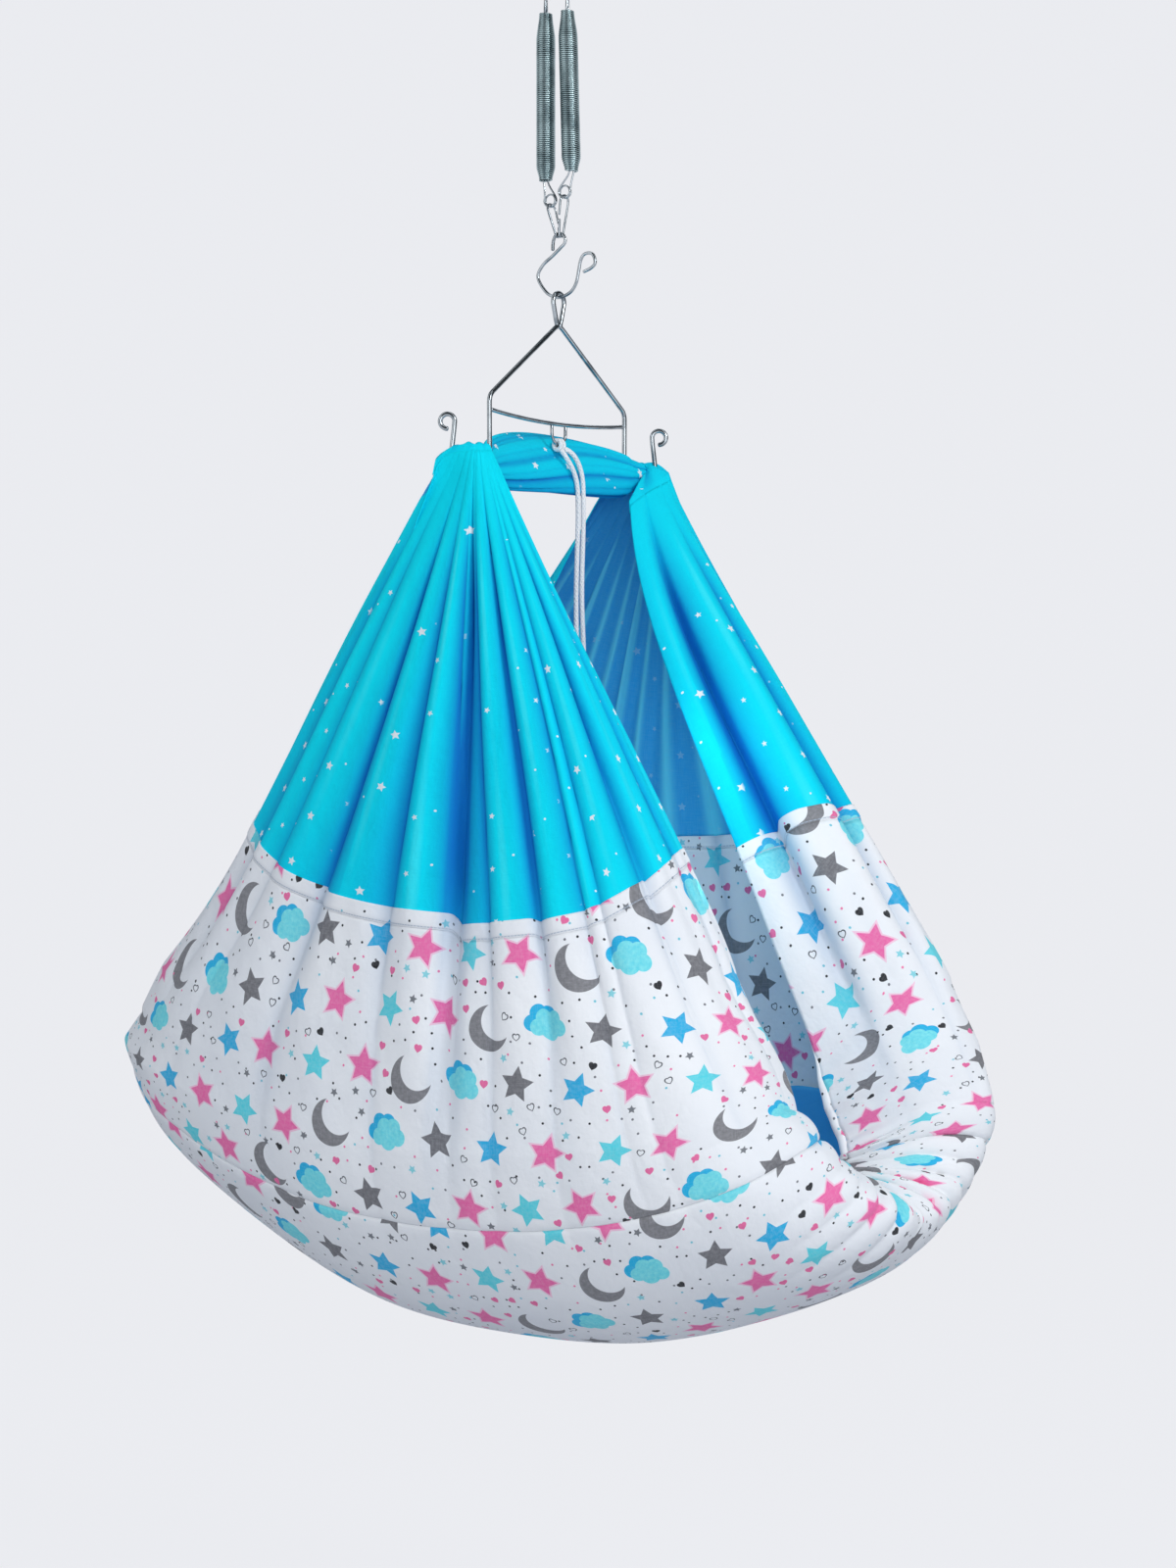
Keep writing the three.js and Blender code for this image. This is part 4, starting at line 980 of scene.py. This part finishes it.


# The cyan is painted deeper blue in the valleys, as painted shade, and paler on the ridges, as a painted
# highlight.
painted_fold_light = start.stored("painted_fold_light")
slub = slub_of(flat)
cyan = place.noise(3.0, 3.0).ramp(0.3, 0.7).mix(paint(0, 220, 248), paint(0, 232, 252))
cyan = (slub.ramp(0.35, 0.75) * 0.35).mix(cyan, paint(20, 240, 253))
cyan = (painted_fold_light.math("MINIMUM", 1.0).math("MAXIMUM", 0.0) * 0.92).mix(cyan, paint(8, 104, 196))
cyan = ((0.0 - painted_fold_light).ramp(0.02, 0.3) * (0.4 + slub * 0.7)).mix(cyan, paint(60, 240, 255))
close_finish(
    start,
    Base_Color=star_lattice(u, v).mix(cyan, paint(240, 246, 250)),
    Roughness=0.72 + slub * 0.12,
    Specular_IOR_Level=0.12,
    Sheen_Weight=0.12,
    Sheen_Roughness=0.4,
    Sheen_Tint=(0.0, 0.8, 1.0, 1.0),
    Normal=relief_of(flat, place, u, v).bump(0.5, 0.0022),
)

# The cloth's reverse is the same cotton, a little paler and duller, with the stars showing through weakly. It
# is painted paler behind the outer valleys, where the reverse stands out in ridges, as a painted highlight.
star_reverse, start, flat, place = new_finish("star_cotton_reverse")
u, v, _ = flat.axes()
reverse_tone_and_painted_highlight = start.stored("painted_fold_light").ramp(0.1, 0.6).mix(paint(54, 170, 232), paint(104, 222, 250))
reverse_tone_and_painted_highlight = (slub_of(flat).ramp(0.35, 0.75) * 0.3).mix(reverse_tone_and_painted_highlight, paint(120, 208, 240))
close_finish(
    start,
    Base_Color=(star_lattice(u, v) * 0.35).mix(reverse_tone_and_painted_highlight, paint(190, 225, 240)),
    Roughness=0.85,
    Specular_IOR_Level=0.15,
    Normal=(place.noise(38, 5.0) * 2.2 + weave_of(u, v) * 0.05).bump(0.5, 0.0022),
)

for side in ("left", "right"):
    top = wall_top(side, cloth_columns)
    bottom = seam_line(side, cloth_columns)
    share = np.linspace(0, 1, 121)[:, None]
    down = top + (bottom - top) * share
    across = np.broadcast_to(cloth_columns, down.shape)
    grid = cloth(side, across, down)
    row_lengths = lengths(grid, 1)[:, -1:]
    flat_places = np.stack([across * row_lengths.max() / (2 * free_edge), -lengths(grid, 0)], -1)
    wall = cloth_sheet(f"star_wall_{side}", grid, flat_places)
    add_shares(wall, "gather", np.broadcast_to(row_lengths / row_lengths.max(), down.shape))
    # Each wall carries the painted shade and painted highlight of its folds, which the star cotton reads.
    add_shares(wall, "painted_fold_light", painted_fold_light_of(side, across, down))
    dress(wall, star_cotton, "star_cotton", "cradle", f"upper_panel_{side}")
    wall.data.materials.append(star_reverse)
    face_out(wall, np.array([hook_signs[side], 0, 0]))

# Printed walls: white cotton with a nursery print of stars, crescents, clouds, hearts and dots. Its top
# edge is folded and top-stitched over the star cotton, and it runs down to the side seam.
print_cotton, start, flat, place = new_finish("print_cotton")
u, v, _ = flat.axes()
big_reach = 0.0245
motif_kinds = 7


def big_cell(u, v):
    """The large motifs' cell: the place in it, which motif it holds, and its chances."""
    x, y, column, row, chances = cells(u, v, 0.064, 11, brick=0.5, jitter=0.012)
    return x, y, (column * 2 + row * 3 + 700) % motif_kinds, chances


def small_cell(u, v, pitch, seed, brick, jitter):
    """A small motif's cell: the place in it, 1 where the cell lies clear of the large motif in its place,
    and its chances."""
    x, y, column, row, chances = cells(u, v, pitch, seed, brick, jitter)
    big_x, big_y, _, _ = big_cell((column + 0.5 - row * brick) * pitch, (row + 0.5) * pitch)
    return x, y, far_off(big_x, big_y) > big_reach, chances


def of_kind(kind, number):
    """1 where the cell holds the motif of that number."""
    return abs(kind - float(number)) < 0.5


x, y, kind, chances = big_cell(u, v)
x, y = turned(x, y, (chances[2] - 0.5) * 0.9)
star_edge = star_distance(x, y, 0.0172) - 0.0008
star = inside(star_edge)
halo = inside(star_edge - 0.0018)
blue_star, pale_star, grey_star = (of_kind(kind, number) for number in (0, 4, 5))
pink_star = of_kind(kind, 2) + of_kind(kind, 6)
any_star = blue_star + pink_star + pale_star + grey_star
star_colour = pink_star.mix(
    grey_star.mix(pale_star.mix(paint(0, 180, 232), paint(86, 220, 234)), paint(112, 112, 117)),
    paint(244, 106, 172),
)
grain = flat.noise(260, 4.0)
star_colour = (grain.ramp(0.35, 0.7) * 0.08).mix(star_colour, paint(255, 255, 255))
bite = far_off(x - 0.0095, y - 0.0085) - 0.0205
crescent = inside((far_off(x, y) - 0.0240).math("MAXIMUM", 0.0 - bite)) * of_kind(kind, 1)


def puff(x, y, middle_x, middle_y, radius):
    """How far a place is outside one round puff of a cloud."""
    return far_off(x - middle_x, y - middle_y) - radius


def cloud_distance(x, y):
    """How far a place is outside a cloud of five puffs."""
    puffs = [(-0.0115, -0.003, 0.0085), (-0.0045, 0.0065, 0.0090), (0.0065, 0.0065, 0.0090)]
    puffs += [(0.0125, -0.003, 0.0085), (0.0005, -0.006, 0.0100)]
    nearest = puff(x, y, *puffs[0])
    for middle in puffs[1:]:
        nearest = nearest.math("MINIMUM", puff(x, y, *middle))
    return nearest


any_cloud = of_kind(kind, 3)
cloud_shade = inside(cloud_distance(x + 0.0060, y - 0.0045)) * any_cloud
cloud = inside(cloud_distance(x, y)) * any_cloud

layers = [
    (halo * pink_star * 0.8, paint(252, 196, 222)),
    (star * any_star, star_colour),
    (crescent, grain.ramp(0.3, 0.75).mix(paint(124, 124, 128), paint(142, 142, 146))),
    (cloud_shade, paint(0, 184, 234)),
    (cloud, grain.ramp(0.3, 0.75).mix(paint(104, 224, 238), paint(136, 236, 243))),
]

x, y, clear, chances = small_cell(u, v, 0.0155, 53, brick=0.43, jitter=0.009)
dot = inside(far_off(x, y) - 0.0013, 0.0002) * clear * (chances[2] > 0.3)
dot_ink = (chances[2] > 0.62).mix(
    (chances[2] > 0.46).mix(paint(120, 122, 128), paint(245, 130, 175)),
    (chances[2] > 0.9).mix(paint(30, 32, 38), paint(120, 205, 222)),
)

x, y, clear, chances = small_cell(u, v, 0.0245, 29, brick=0.31, jitter=0.010)
pick = chances[2]
x, y = turned(x, y, (chances[1] - 0.5) * 1.4)
heart_size = 0.0043
heart_x, heart_y = x / heart_size, y / heart_size
lift = heart_y * 1.15 - abs(heart_x).math("SQRT") * 0.62
heart_far = (far_off(heart_x, lift) - 1.0) * heart_size
heart = inside(heart_far) * clear
small_star = inside(star_distance(x, y, 0.0048)) * clear
layers += [
    (dot, dot_ink),
    (heart * (pick < 0.20), paint(240, 110, 165)),
    (heart * (heart_far > -0.0012) * (pick > 0.20) * (pick < 0.33), paint(70, 74, 82)),
    (small_star * (pick > 0.33) * (pick < 0.44), paint(120, 124, 130)),
    (small_star * (pick > 0.44) * (pick < 0.55), paint(140, 218, 230)),
    (heart * (pick > 0.92), paint(28, 30, 36)),
]
colour = place.noise(5.0, 2.0).ramp(0.3, 0.7).mix(paint(241, 244, 248), paint(248, 250, 252))
for mask, ink in layers:
    colour = mask.mix(colour, ink)

# The hollows between the pleats get painted shade, and the stitches of the hem lie in a shallow needle line,
# which is darkened with painted shade.
multiply = {"data_type": "RGBA", "blend_type": "MULTIPLY"}
painted_fold_light = start.stored("painted_fold_light").ramp(0.1, 1.0)
colour = start.node("ShaderNodeMix", multiply, {0: painted_fold_light, 6: colour, 7: paint(204, 216, 230)}, 2)
from_seam = abs(start.stored("hem") - 0.0022)
stitch = inside(from_seam - 0.00035, 0.00015) * ((u / 0.0036) % 1.0 < 0.66)
needle_groove_and_painted_shade = inside(from_seam - 0.0008, 0.0006)
colour = (needle_groove_and_painted_shade * 0.35).mix(colour, paint(170, 182, 198))
colour = stitch.mix(colour, paint(176, 190, 206))
slub = slub_of(flat)
height = relief_of(flat, place, u, v) - needle_groove_and_painted_shade * 0.25 + stitch * 0.12
close_finish(
    start,
    Base_Color=(slub.ramp(0.3, 0.8) * 0.10).mix(colour, paint(250, 252, 255)),
    Roughness=0.76 + slub * 0.12,
    Specular_IOR_Level=0.2,
    Sheen_Weight=0.08,
    Sheen_Roughness=0.5,
    Normal=height.bump(0.5, 0.0022),
)

side_seam = 1.3
strip_rows = 9
for side in ("left", "right"):
    top = seam_line(side, cloth_columns)
    probe = 0.01
    reach = hung_form(side, cloth_columns, top + probe) - hung_form(side, cloth_columns, top)
    strip_share = 0.014 * probe / np.linalg.norm(reach, axis=-1)
    strip_down = top + strip_share * np.linspace(-0.25, 1, strip_rows)[:, None]
    wall_down = strip_down[-1] + (side_seam - strip_down[-1]) * np.linspace(0, 1, 121)[:, None]
    down = np.vstack([strip_down[:-1], wall_down])
    across = np.broadcast_to(cloth_columns, down.shape)
    rise = np.where(np.arange(len(down))[:, None] < strip_rows - 2, 0.0011, 0.0)
    grid = cloth(side, across, down, rise)
    fan = np.broadcast_to(cloth_columns, (9, len(cloth_columns)))
    fan_turn = row_turn(hung_form(side, fan, np.linspace(0.70, 0.92, 9)[:, None] + 0 * fan))
    flat_places = flat_map(grid, fan_turn * (1 - 0.7 * bell((down - 0.85) / 0.4)))
    depth_down = lengths(grid, 0)
    painted_fold_light_places = painted_fold_light_of(side, across, down)
    strip = cloth_sheet(f"stitched_hem_{side}", grid[:strip_rows], flat_places[:strip_rows], 0.0016)
    add_shares(strip, "hem", np.abs(depth_down[:strip_rows] - depth_down[strip_rows - 1]))
    # The hem and the wall carry the painted shade of their folds, which the print cotton reads.
    add_shares(strip, "painted_fold_light", painted_fold_light_places[:strip_rows])
    dress(strip, print_cotton, "print_cotton", "cradle", f"seam_strip_{side}")
    wall = cloth_sheet(f"print_wall_{side}", grid[strip_rows - 1 :], flat_places[strip_rows - 1 :])
    add_shares(wall, "painted_fold_light", painted_fold_light_places[strip_rows - 1 :])
    dress(wall, print_cotton, "print_cotton", "cradle", f"lower_panel_{side}")

# Bottom: one panel of the printed cotton across the keel, sewn to both walls. The pad and the child lie
# on it, and its ends are drawn up into the puckers.


def keel_points(column_shares, row_shares, rise):
    """Points across the keel: a row share below nought is on the left wall's side, and the share down is
    two less its size. At the keel itself the two sides meet in the mean of their points."""
    across, rows = np.asarray(column_shares), np.asarray(row_shares)
    if rows.ndim == 1:
        across, rows = np.meshgrid(across, rows)
    down = 2 - np.abs(rows)
    rise = np.broadcast_to(rise, rows.shape)
    left, right = cloth("left", across, down, rise), cloth("right", across, down, rise)
    blend_share = bell((rows + 0.06) / 0.12)[..., None]
    return left * (1 - blend_share) + right * blend_share


bottom_rows = np.linspace(-0.7, 0.7, 121)
grid = keel_points(cloth_columns, bottom_rows, 0.0)
bottom_flat = flat_map(grid) + (0.013, 0.031)
bottom = cloth_sheet("print_bottom", grid, bottom_flat)
dress(bottom, print_cotton, "print_cotton", "cradle", "bottom_panel")

# Casings: the free edges of the pouch are turned into tubes round an elastic, which gathers each mouth
# of the pouch into a pucker.
elastic_finish, start, flat, place = new_finish("woven_elastic")
u, v, _ = flat.axes()
ribs = (u * 9000).math("SINE") * 0.6 + (v * 3600).math("SINE") * 0.4
# The elastic is painted darker in the grooves between its ribs: painted shade.
close_finish(
    start,
    Base_Color=ribs.ramp(-0.8, 0.8).mix(paint(206, 212, 220), paint(238, 240, 244)),
    Roughness=0.7,
    Normal=ribs.bump(0.5, 0.0003),
)
casing_top = 0.86


def casing_rings(side, sign, down, half_width, half_depth):
    """Oval rings about the casing's middle, which lies beyond the free edge, square to it. The oval is flat
    along the cloth, swells and shrinks as the gathers do, and grows from a thin tip at its top."""
    across = np.full_like(down, sign * free_edge)
    edge = cloth(side, across, down)
    normal = unit(cloth(side, across, down, 0.001) - edge)
    along = unit(cloth(side, across, down + np.where(down > 1, -0.02, 0.02)) - edge)
    beyond = cloth(side, np.full_like(down, float(sign)), down) - edge
    beyond = unit(beyond - (beyond * along).sum(-1, keepdims=True) * along)
    ruffle = 1 + 0.22 * small_gathers(down) + 0.10 * np.sin(230 * down)
    ending = bell((down - casing_top) / 0.16)[:, None, None]
    turn = np.linspace(0, 2 * np.pi, 21)[None, :, None]
    section = half_width * np.cos(turn) * beyond[:, None]
    section = section + half_depth * ruffle[:, None, None] * np.sin(turn) * normal[:, None]
    return (edge + beyond * 0.0044 * ending[..., 0])[:, None] + section * (0.12 + 0.88 * ending)


casing_down = np.linspace(casing_top, 2, 230)
for name, sign in (("front", 1), ("back", -1)):
    for part, half_width, half_depth in (("gathered_casing", 0.0044, 0.0034), ("elastic", 0.0018, 0.0018)):
        left = casing_rings("left", sign, casing_down, half_width, half_depth)
        right = casing_rings("right", sign, casing_down[:-1], half_width, half_depth)[::-1]
        rings = np.concatenate([left, right])
        padded = np.pad(rings, ((3, 3), (0, 0), (0, 0)), "edge")
        rings = sum(padded[k : k + len(rings)] for k in range(7)) / 7
        around = lengths(rings, 1)
        run = np.broadcast_to(lengths(rings.mean(1)[None], 1)[0][:, None], around.shape)
        casing_flat = np.stack([run, around], -1)
        casing = grid_piece(f"{part}_{name}", rings[:, :-1], casing_flat, around=True, capped=True)
        if part == "elastic":
            dress(casing, elastic_finish, "elastic", "cradle", f"{name}_elastic")
        else:
            dress(casing, print_cotton, "print_cotton", "cradle", f"{name}_casing")

# Band: the star cotton between the two J-hooks, gathered into one soft roll. At each end it crosses the
# crook of the hook and fans out into the wall.
ring_angle = np.linspace(0, 2 * np.pi, 121)
band_half_length = leg_x - 0.014
bundle_depths = {side: crook_depth + hook_spans[side] / 2 - rod / 2 - play - 0.013 for side in rims}
hook_middles = {side: (hook_plan(side)[0] + hook_plan(side)[2]) / 2 for side in rims}


def band_centre(x):
    """The middle of the band's section: it rises to its top with the square of the distance from the
    ends, and lies behind the line between the two hooks by as much."""
    reach = x / band_half_length
    left, right = hook_middles["left"], hook_middles["right"]
    share = (x - left[0]) / (right[0] - left[0])
    end_depth = bundle_depths["left"] + (bundle_depths["right"] - bundle_depths["left"]) * share
    depth = 0.492 + (end_depth - 0.492) * reach**2
    y = left[1] + (right[1] - left[1]) * share + 0.009 * (1 - reach**2)
    return np.stack([x, y, -depth], -1)


def oval(centre, half_thickness, half_height, shear, folds, phase):
    """A ring about a centre: an oval in Y and Z, sheared as it rises, with its radius cut by folds: sharp
    valleys between round ridges, the ridge being the sine of half the fold's angle to a power. The second
    result is how deep each place lies in its valley."""
    drift = 6.5 * ring_angle + phase + 0.8 * np.sin(2 * ring_angle + 0.7 * phase)
    ridge = np.abs(np.sin(drift * 0.5 + 0.4)) ** 0.6
    finer = np.abs(np.sin(drift * 1.1 + 1.3)) ** 0.6
    closing = bell(np.minimum(ring_angle, 2 * np.pi - ring_angle) / 0.5)
    wave = 1 + folds * closing * (1.5 * ridge + 0.7 * finer - 1.6)
    rise = half_height * np.sin(ring_angle) * wave
    y = centre[1] + half_thickness * np.cos(ring_angle) * wave + shear * rise
    valley = closing * np.clip(1.15 - 0.9 * ridge - 0.4 * finer, 0, 1)
    return np.stack([np.full_like(ring_angle, centre[0]), y, centre[2] + rise], -1), valley


band_rings, band_painted_shade = [], []
for x in np.linspace(-band_half_length, band_half_length, 141):
    reach = x / band_half_length
    swell = np.sqrt(max(1 - reach**2, 0))
    half_height = 0.017 + 0.014 * swell
    folds = 0.07 + 0.09 * reach**2
    centre = band_centre(np.array(x))
    phase = 1.6 * reach + 0.5 * np.sin(3 * reach)
    ring, valley = oval(centre, 0.011, half_height, 0.45 * swell, folds, phase)
    band_rings.append(ring)
    # The band's colour gets painted shade: a little all over, more in its valleys and most on its underside.
    underside = np.maximum(-np.sin(ring_angle), 0)
    band_painted_shade.append(0.20 + 0.70 * valley + 0.55 * underside**2)


def neck_rings(side, first_ring):
    """Rings from the band's end over the crook and out to the wall's rim. Each is a mix of an oval
    bundle and of the wall's own top edge, with its outer face above and its inner face below."""
    sign = hook_signs[side]
    across = -np.cos(ring_angle) * free_edge
    top = wall_top(side, across)
    rim = cloth(side, across, top + 0.012, 0.0010 * np.sin(ring_angle) - 0.0012)
    crest = cloth(side, across, np.maximum(top - 0.004, 0), 0.0022 * np.sin(ring_angle) - 0.0030)
    crest[..., 2] += 0.0035
    crossing = hook_middles[side] - upward * bundle_depths[side]
    bundle, _ = oval(crossing, 0.0095, 0.013, 0, 0.10, 1.4)
    rings = []
    for share in np.linspace(0, 1, 25)[1:]:
        if share < 0.4:
            w = bell(share / 0.4)
            rings.append(first_ring * (1 - w) + bundle * w)
        elif share < 0.85:
            w = bell((share - 0.4) / 0.45)
            arch = (0.004 + 0.0016 * np.sin(11 * ring_angle + sign)) * np.sin(np.pi * w)
            rings.append(bundle * (1 - w) + crest * w + upward * arch[:, None])
        else:
            w = bell((share - 0.85) / 0.15)
            rings.append(crest * (1 - w) + rim * w)
    return rings


left_neck = neck_rings("left", band_rings[0])[::-1]
right_neck = neck_rings("right", band_rings[-1])
grid = np.array([*left_neck, *band_rings, *right_neck])
fading = np.linspace(0, 1, len(left_neck))[:, None]
# Painted shade in narrow bands round the necks, where they crinkle.
crinkle_painted_shade = 0.30 * np.maximum(-np.sin(11 * ring_angle + 1), 0) * np.sin(np.pi * fading)
neck_painted_shade = [band_painted_shade[0] * fading + crinkle_painted_shade, band_painted_shade[-1] * fading[::-1] + crinkle_painted_shade]
band_painted_light = np.concatenate([neck_painted_shade[0], band_painted_shade, neck_painted_shade[1]])
around = lengths(grid, 1)
along = lengths(grid, 0).mean(1, keepdims=True)
band_gather = 0.42
flat_places = np.stack(np.broadcast_arrays(around / band_gather, along), -1)
band = cloth_sheet("gathered_band", grid[:, :-1], flat_places, 0.0011, around=True)
add_shares(band, "gather", np.full(len(band.data.vertices), band_gather))
# The band carries its painted shade, which the star cotton reads.
add_shares(band, "painted_fold_light", band_painted_light[:, :-1])
dress(band, star_cotton, "star_cotton", "cradle", "top_band", "neck_left", "neck_right")

# Mattress pad: a thin quilted cotton pad on the bottom panel, which keeps the pouch's floor flat. It is
# filled out by a cloth simulation.
pad_cover, start, flat, place = new_finish("pad_cover")
quilt = place.noise(30, 3.0)
# The cover is painted darker where its quilting sinks: painted shade.
close_finish(
    start,
    Base_Color=quilt.ramp(0.3, 0.7).mix(paint(222, 228, 236), paint(240, 243, 247)),
    Roughness=0.88,
    Sheen_Weight=0.2,
    Normal=(quilt + place.noise(700) * 0.2).bump(0.4, 0.002),
)
column_step = 2 * free_edge / 24
row_step = 1.4 / 12
pad_start, pad_end, pad_reach = -5 * column_step, 7 * column_step, 4 * row_step


def pad_rise(across, rows):
    """The pad's height: it falls to half at its sides and to half at its ends with the fourth power."""
    along = np.clip(np.abs((across - column_step) / (6 * column_step)), 0, 1)
    aside = np.clip(np.abs(rows / pad_reach), 0, 1)
    return 0.024 * (1 - 0.5 * aside**4) * (1 - 0.5 * along**4)


pad_columns = np.linspace(pad_start, pad_end, 61)
pad_rows = np.linspace(-pad_reach, pad_reach, 41)
across, rows = np.meshgrid(pad_columns, pad_rows)
slackness, bottom_clearance = 0.003, 0.0013
underside = keel_points(pad_columns, pad_rows, -bottom_clearance - slackness)
topside = keel_points(pad_columns, pad_rows, -(bottom_clearance - slackness + pad_rise(across, rows)))
wrap = np.concatenate([underside, topside[:, ::-1]], 1)
pad_flat = np.zeros((len(wrap), wrap.shape[1] + 1, 2))
pad = grid_piece("quilted_pad", wrap, pad_flat, around=True, capped=True)


def fill_out(piece, voxel, pressure, most):
    """Fills a pad: its mesh is built anew from voxels, a cloth simulation blows it up from inside for
    twenty frames, and no point moves further than the most."""
    voxels = piece.modifiers.new("voxels", "REMESH")
    voxels.mode = "VOXEL"
    voxels.voxel_size = voxel
    graph = bpy.context.evaluated_depsgraph_get()
    slack = bpy.data.meshes.new_from_object(piece.evaluated_get(graph))
    piece.modifiers.clear()
    piece.data = slack
    before = np.empty(3 * len(slack.vertices), np.float32)
    slack.vertices.foreach_get("co", before)
    ticking = piece.modifiers.new("filling", "CLOTH")
    ticking.settings.use_pressure = True
    ticking.settings.uniform_pressure_force = pressure
    ticking.settings.effector_weights.gravity = 0
    for number in range(1, 21):
        bpy.context.scene.frame_set(number)
    graph = bpy.context.evaluated_depsgraph_get()
    after = np.empty_like(before)
    piece.evaluated_get(graph).data.vertices.foreach_get("co", after)
    piece.modifiers.clear()
    bpy.context.scene.frame_set(1)
    move = (after - before).reshape(-1, 3)
    far = np.linalg.norm(move, axis=1, keepdims=True)
    move = move * np.minimum(1, most / np.maximum(far, 1e-9))
    slack.vertices.foreach_set("co", before + move.ravel())
    slack.polygons.foreach_set("use_smooth", np.ones(len(slack.polygons), bool))
    finer = piece.modifiers.new("finer", "SUBSURF")
    finer.levels = finer.render_levels = 1


fill_out(pad, voxel=0.006, pressure=4, most=0.004)
dress(pad, pad_cover, "pad_cover", "cradle", "mattress_pad")

# Lining: a plain blue sheet laid over the pad, which shows inside the front pucker.
blue_lining, start, flat, place = new_finish("blue_lining")
u, v, _ = flat.axes()
close_finish(
    start,
    Base_Color=place.noise(9.0, 3.0).ramp(0.3, 0.7).mix(paint(62, 176, 240), paint(78, 190, 246)),
    Roughness=0.8,
    Sheen_Weight=0.2,
    Normal=(place.noise(30, 5.0) * 2 + weave_of(u, v) * 0.05).bump(0.5, 0.002),
)
lining_columns = np.linspace(-6 * column_step, 10 * column_step, 161)
lining_rows = np.linspace(-9 * row_step, 9 * row_step, 201)
across, rows = np.meshgrid(lining_columns, lining_rows)
rows = rows * (0.935 + 0.03 * np.sin(13 * across + 2) + 0.012 * np.sin(37 * across))
ripple = 0.0010 * np.sin(60 * across + 9 * rows) * np.sin(23 * rows + 7 * across)
climb = bell((np.abs(rows) / row_step - 5) / 4)
lining_rise = 0.0037 + pad_rise(across, rows) * (1 - 0.95 * climb) + 0.004 * climb + ripple
grid = keel_points(across, rows, -lining_rise)
lining = cloth_sheet("blue_sheet", grid, flat_map(grid), 0.0010)
dress(lining, blue_lining, "blue_lining", "cradle", "lining_sheet")

# Studio: a pale floor that curves up into a backdrop, a soft key light from the front and above, a broad
# fill and a side light, and a weak lamp inside the pouch for the light that comes through the cloth.
scene = bpy.context.scene
scene.view_settings.view_transform = "Standard"
sweep_x = np.linspace(-12, 12, 3)
curve = np.linspace(0.1, np.pi / 2, 14)
sweep_run = np.concatenate([np.linspace(-9, 5, 8), 5 + 3 * np.sin(curve), [8, 8]])
sweep_rise = np.concatenate([np.zeros(8), 3 - 3 * np.cos(curve), [5, 10]])
view = np.array([np.sin(camera_turn), np.cos(camera_turn), 0])
beside = np.array([np.cos(camera_turn), -np.sin(camera_turn), 0])
floor_height = -1.72
grid = (
    sweep_run[:, None, None] * view
    + sweep_x[None, :, None] * beside
    + (sweep_rise[:, None, None] + floor_height) * upward
)
floor = grid_piece("studio_floor", grid, np.zeros((*grid.shape[:2], 2)))
floor_finish, start, flat, place = new_finish("studio_paper")
seen = start.node("ShaderNodeLightPath", output="Is Camera Ray")
glossy = start.node("ShaderNodeLightPath", output="Is Glossy Ray")
paper = start.node("ShaderNodeBsdfDiffuse", inputs={"Color": paint(196, 199, 206)})
glow = start.node("ShaderNodeEmission", inputs={"Color": paint(244, 245, 249), "Strength": 1.0})
mixed = start.node("ShaderNodeMixShader", inputs={0: seen.math("MAXIMUM", glossy) * 0.88, 1: paper, 2: glow})
start.node("ShaderNodeOutputMaterial", inputs={"Surface": mixed})
floor.data.materials.append(floor_finish)

world = bpy.data.worlds.new("studio")
scene.world = world
world.use_nodes = True
world.node_tree.nodes.clear()
start = Value(world.node_tree)
east, north, height = start.node("ShaderNodeTexCoord", output="Generated").axes()
bearing = north.math("ARCTAN2", east)
panels = (bearing * 3 + 0.6).math("SINE").ramp(0.2, 0.6)
reflected = (panels * 0.92 + 0.03) * (height.ramp(-0.9, 0.6) * 0.5 + 0.6)
mirrored = reflected.mix((0.02, 0.025, 0.03, 1), (1, 1, 1, 1))
glossy = start.node("ShaderNodeLightPath", output="Is Glossy Ray")
seen = start.node("ShaderNodeLightPath", output="Is Camera Ray")
ambient = start.node("ShaderNodeBackground", inputs={"Color": paint(222, 228, 237), "Strength": 0.62})
mirror = start.node("ShaderNodeBackground", inputs={"Color": mirrored})
plain = start.node("ShaderNodeBackground", inputs={"Color": paint(232, 234, 239)})
lit = start.node("ShaderNodeMixShader", inputs={0: glossy, 1: ambient, 2: mirror})
whole = start.node("ShaderNodeMixShader", inputs={0: seen, 1: lit, 2: plain})
start.node("ShaderNodeOutputWorld", inputs={"Surface": whole})


def soft_light(name, place, aim, size, power, colour=(1, 1, 1)):
    """A square area light at a place, turned to face a point."""
    lamp = bpy.data.lights.new(name, "AREA")
    lamp.size = size
    lamp.energy = power
    lamp.color = colour
    held = bpy.data.objects.new(name, lamp)
    held.visible_camera = False
    scene.collection.objects.link(held)
    held.location = place
    away = np.array(place) - np.array(aim)
    across = np.hypot(away[0], away[1])
    held.rotation_euler = (np.arctan2(across, away[2]), 0, np.arctan2(away[0], -away[1]))


pouch_middle = (0, 0, -0.85)
soft_light("key", (-0.9, -3.7, 1.3), pouch_middle, 1.0, 50)
soft_light("fill", (-2.9, -2.9, -0.4), pouch_middle, 2.0, 41)
soft_light("side", (-3.8, 1.2, 0.0), pouch_middle, 2.2, 13)
inside_place, inside_aim = (-0.06, -0.08, -0.88), (0.2, -0.08, -0.98)
soft_light("light_through_the_cloth", inside_place, inside_aim, 0.30, 0.28, (0.60, 0.90, 1.0))
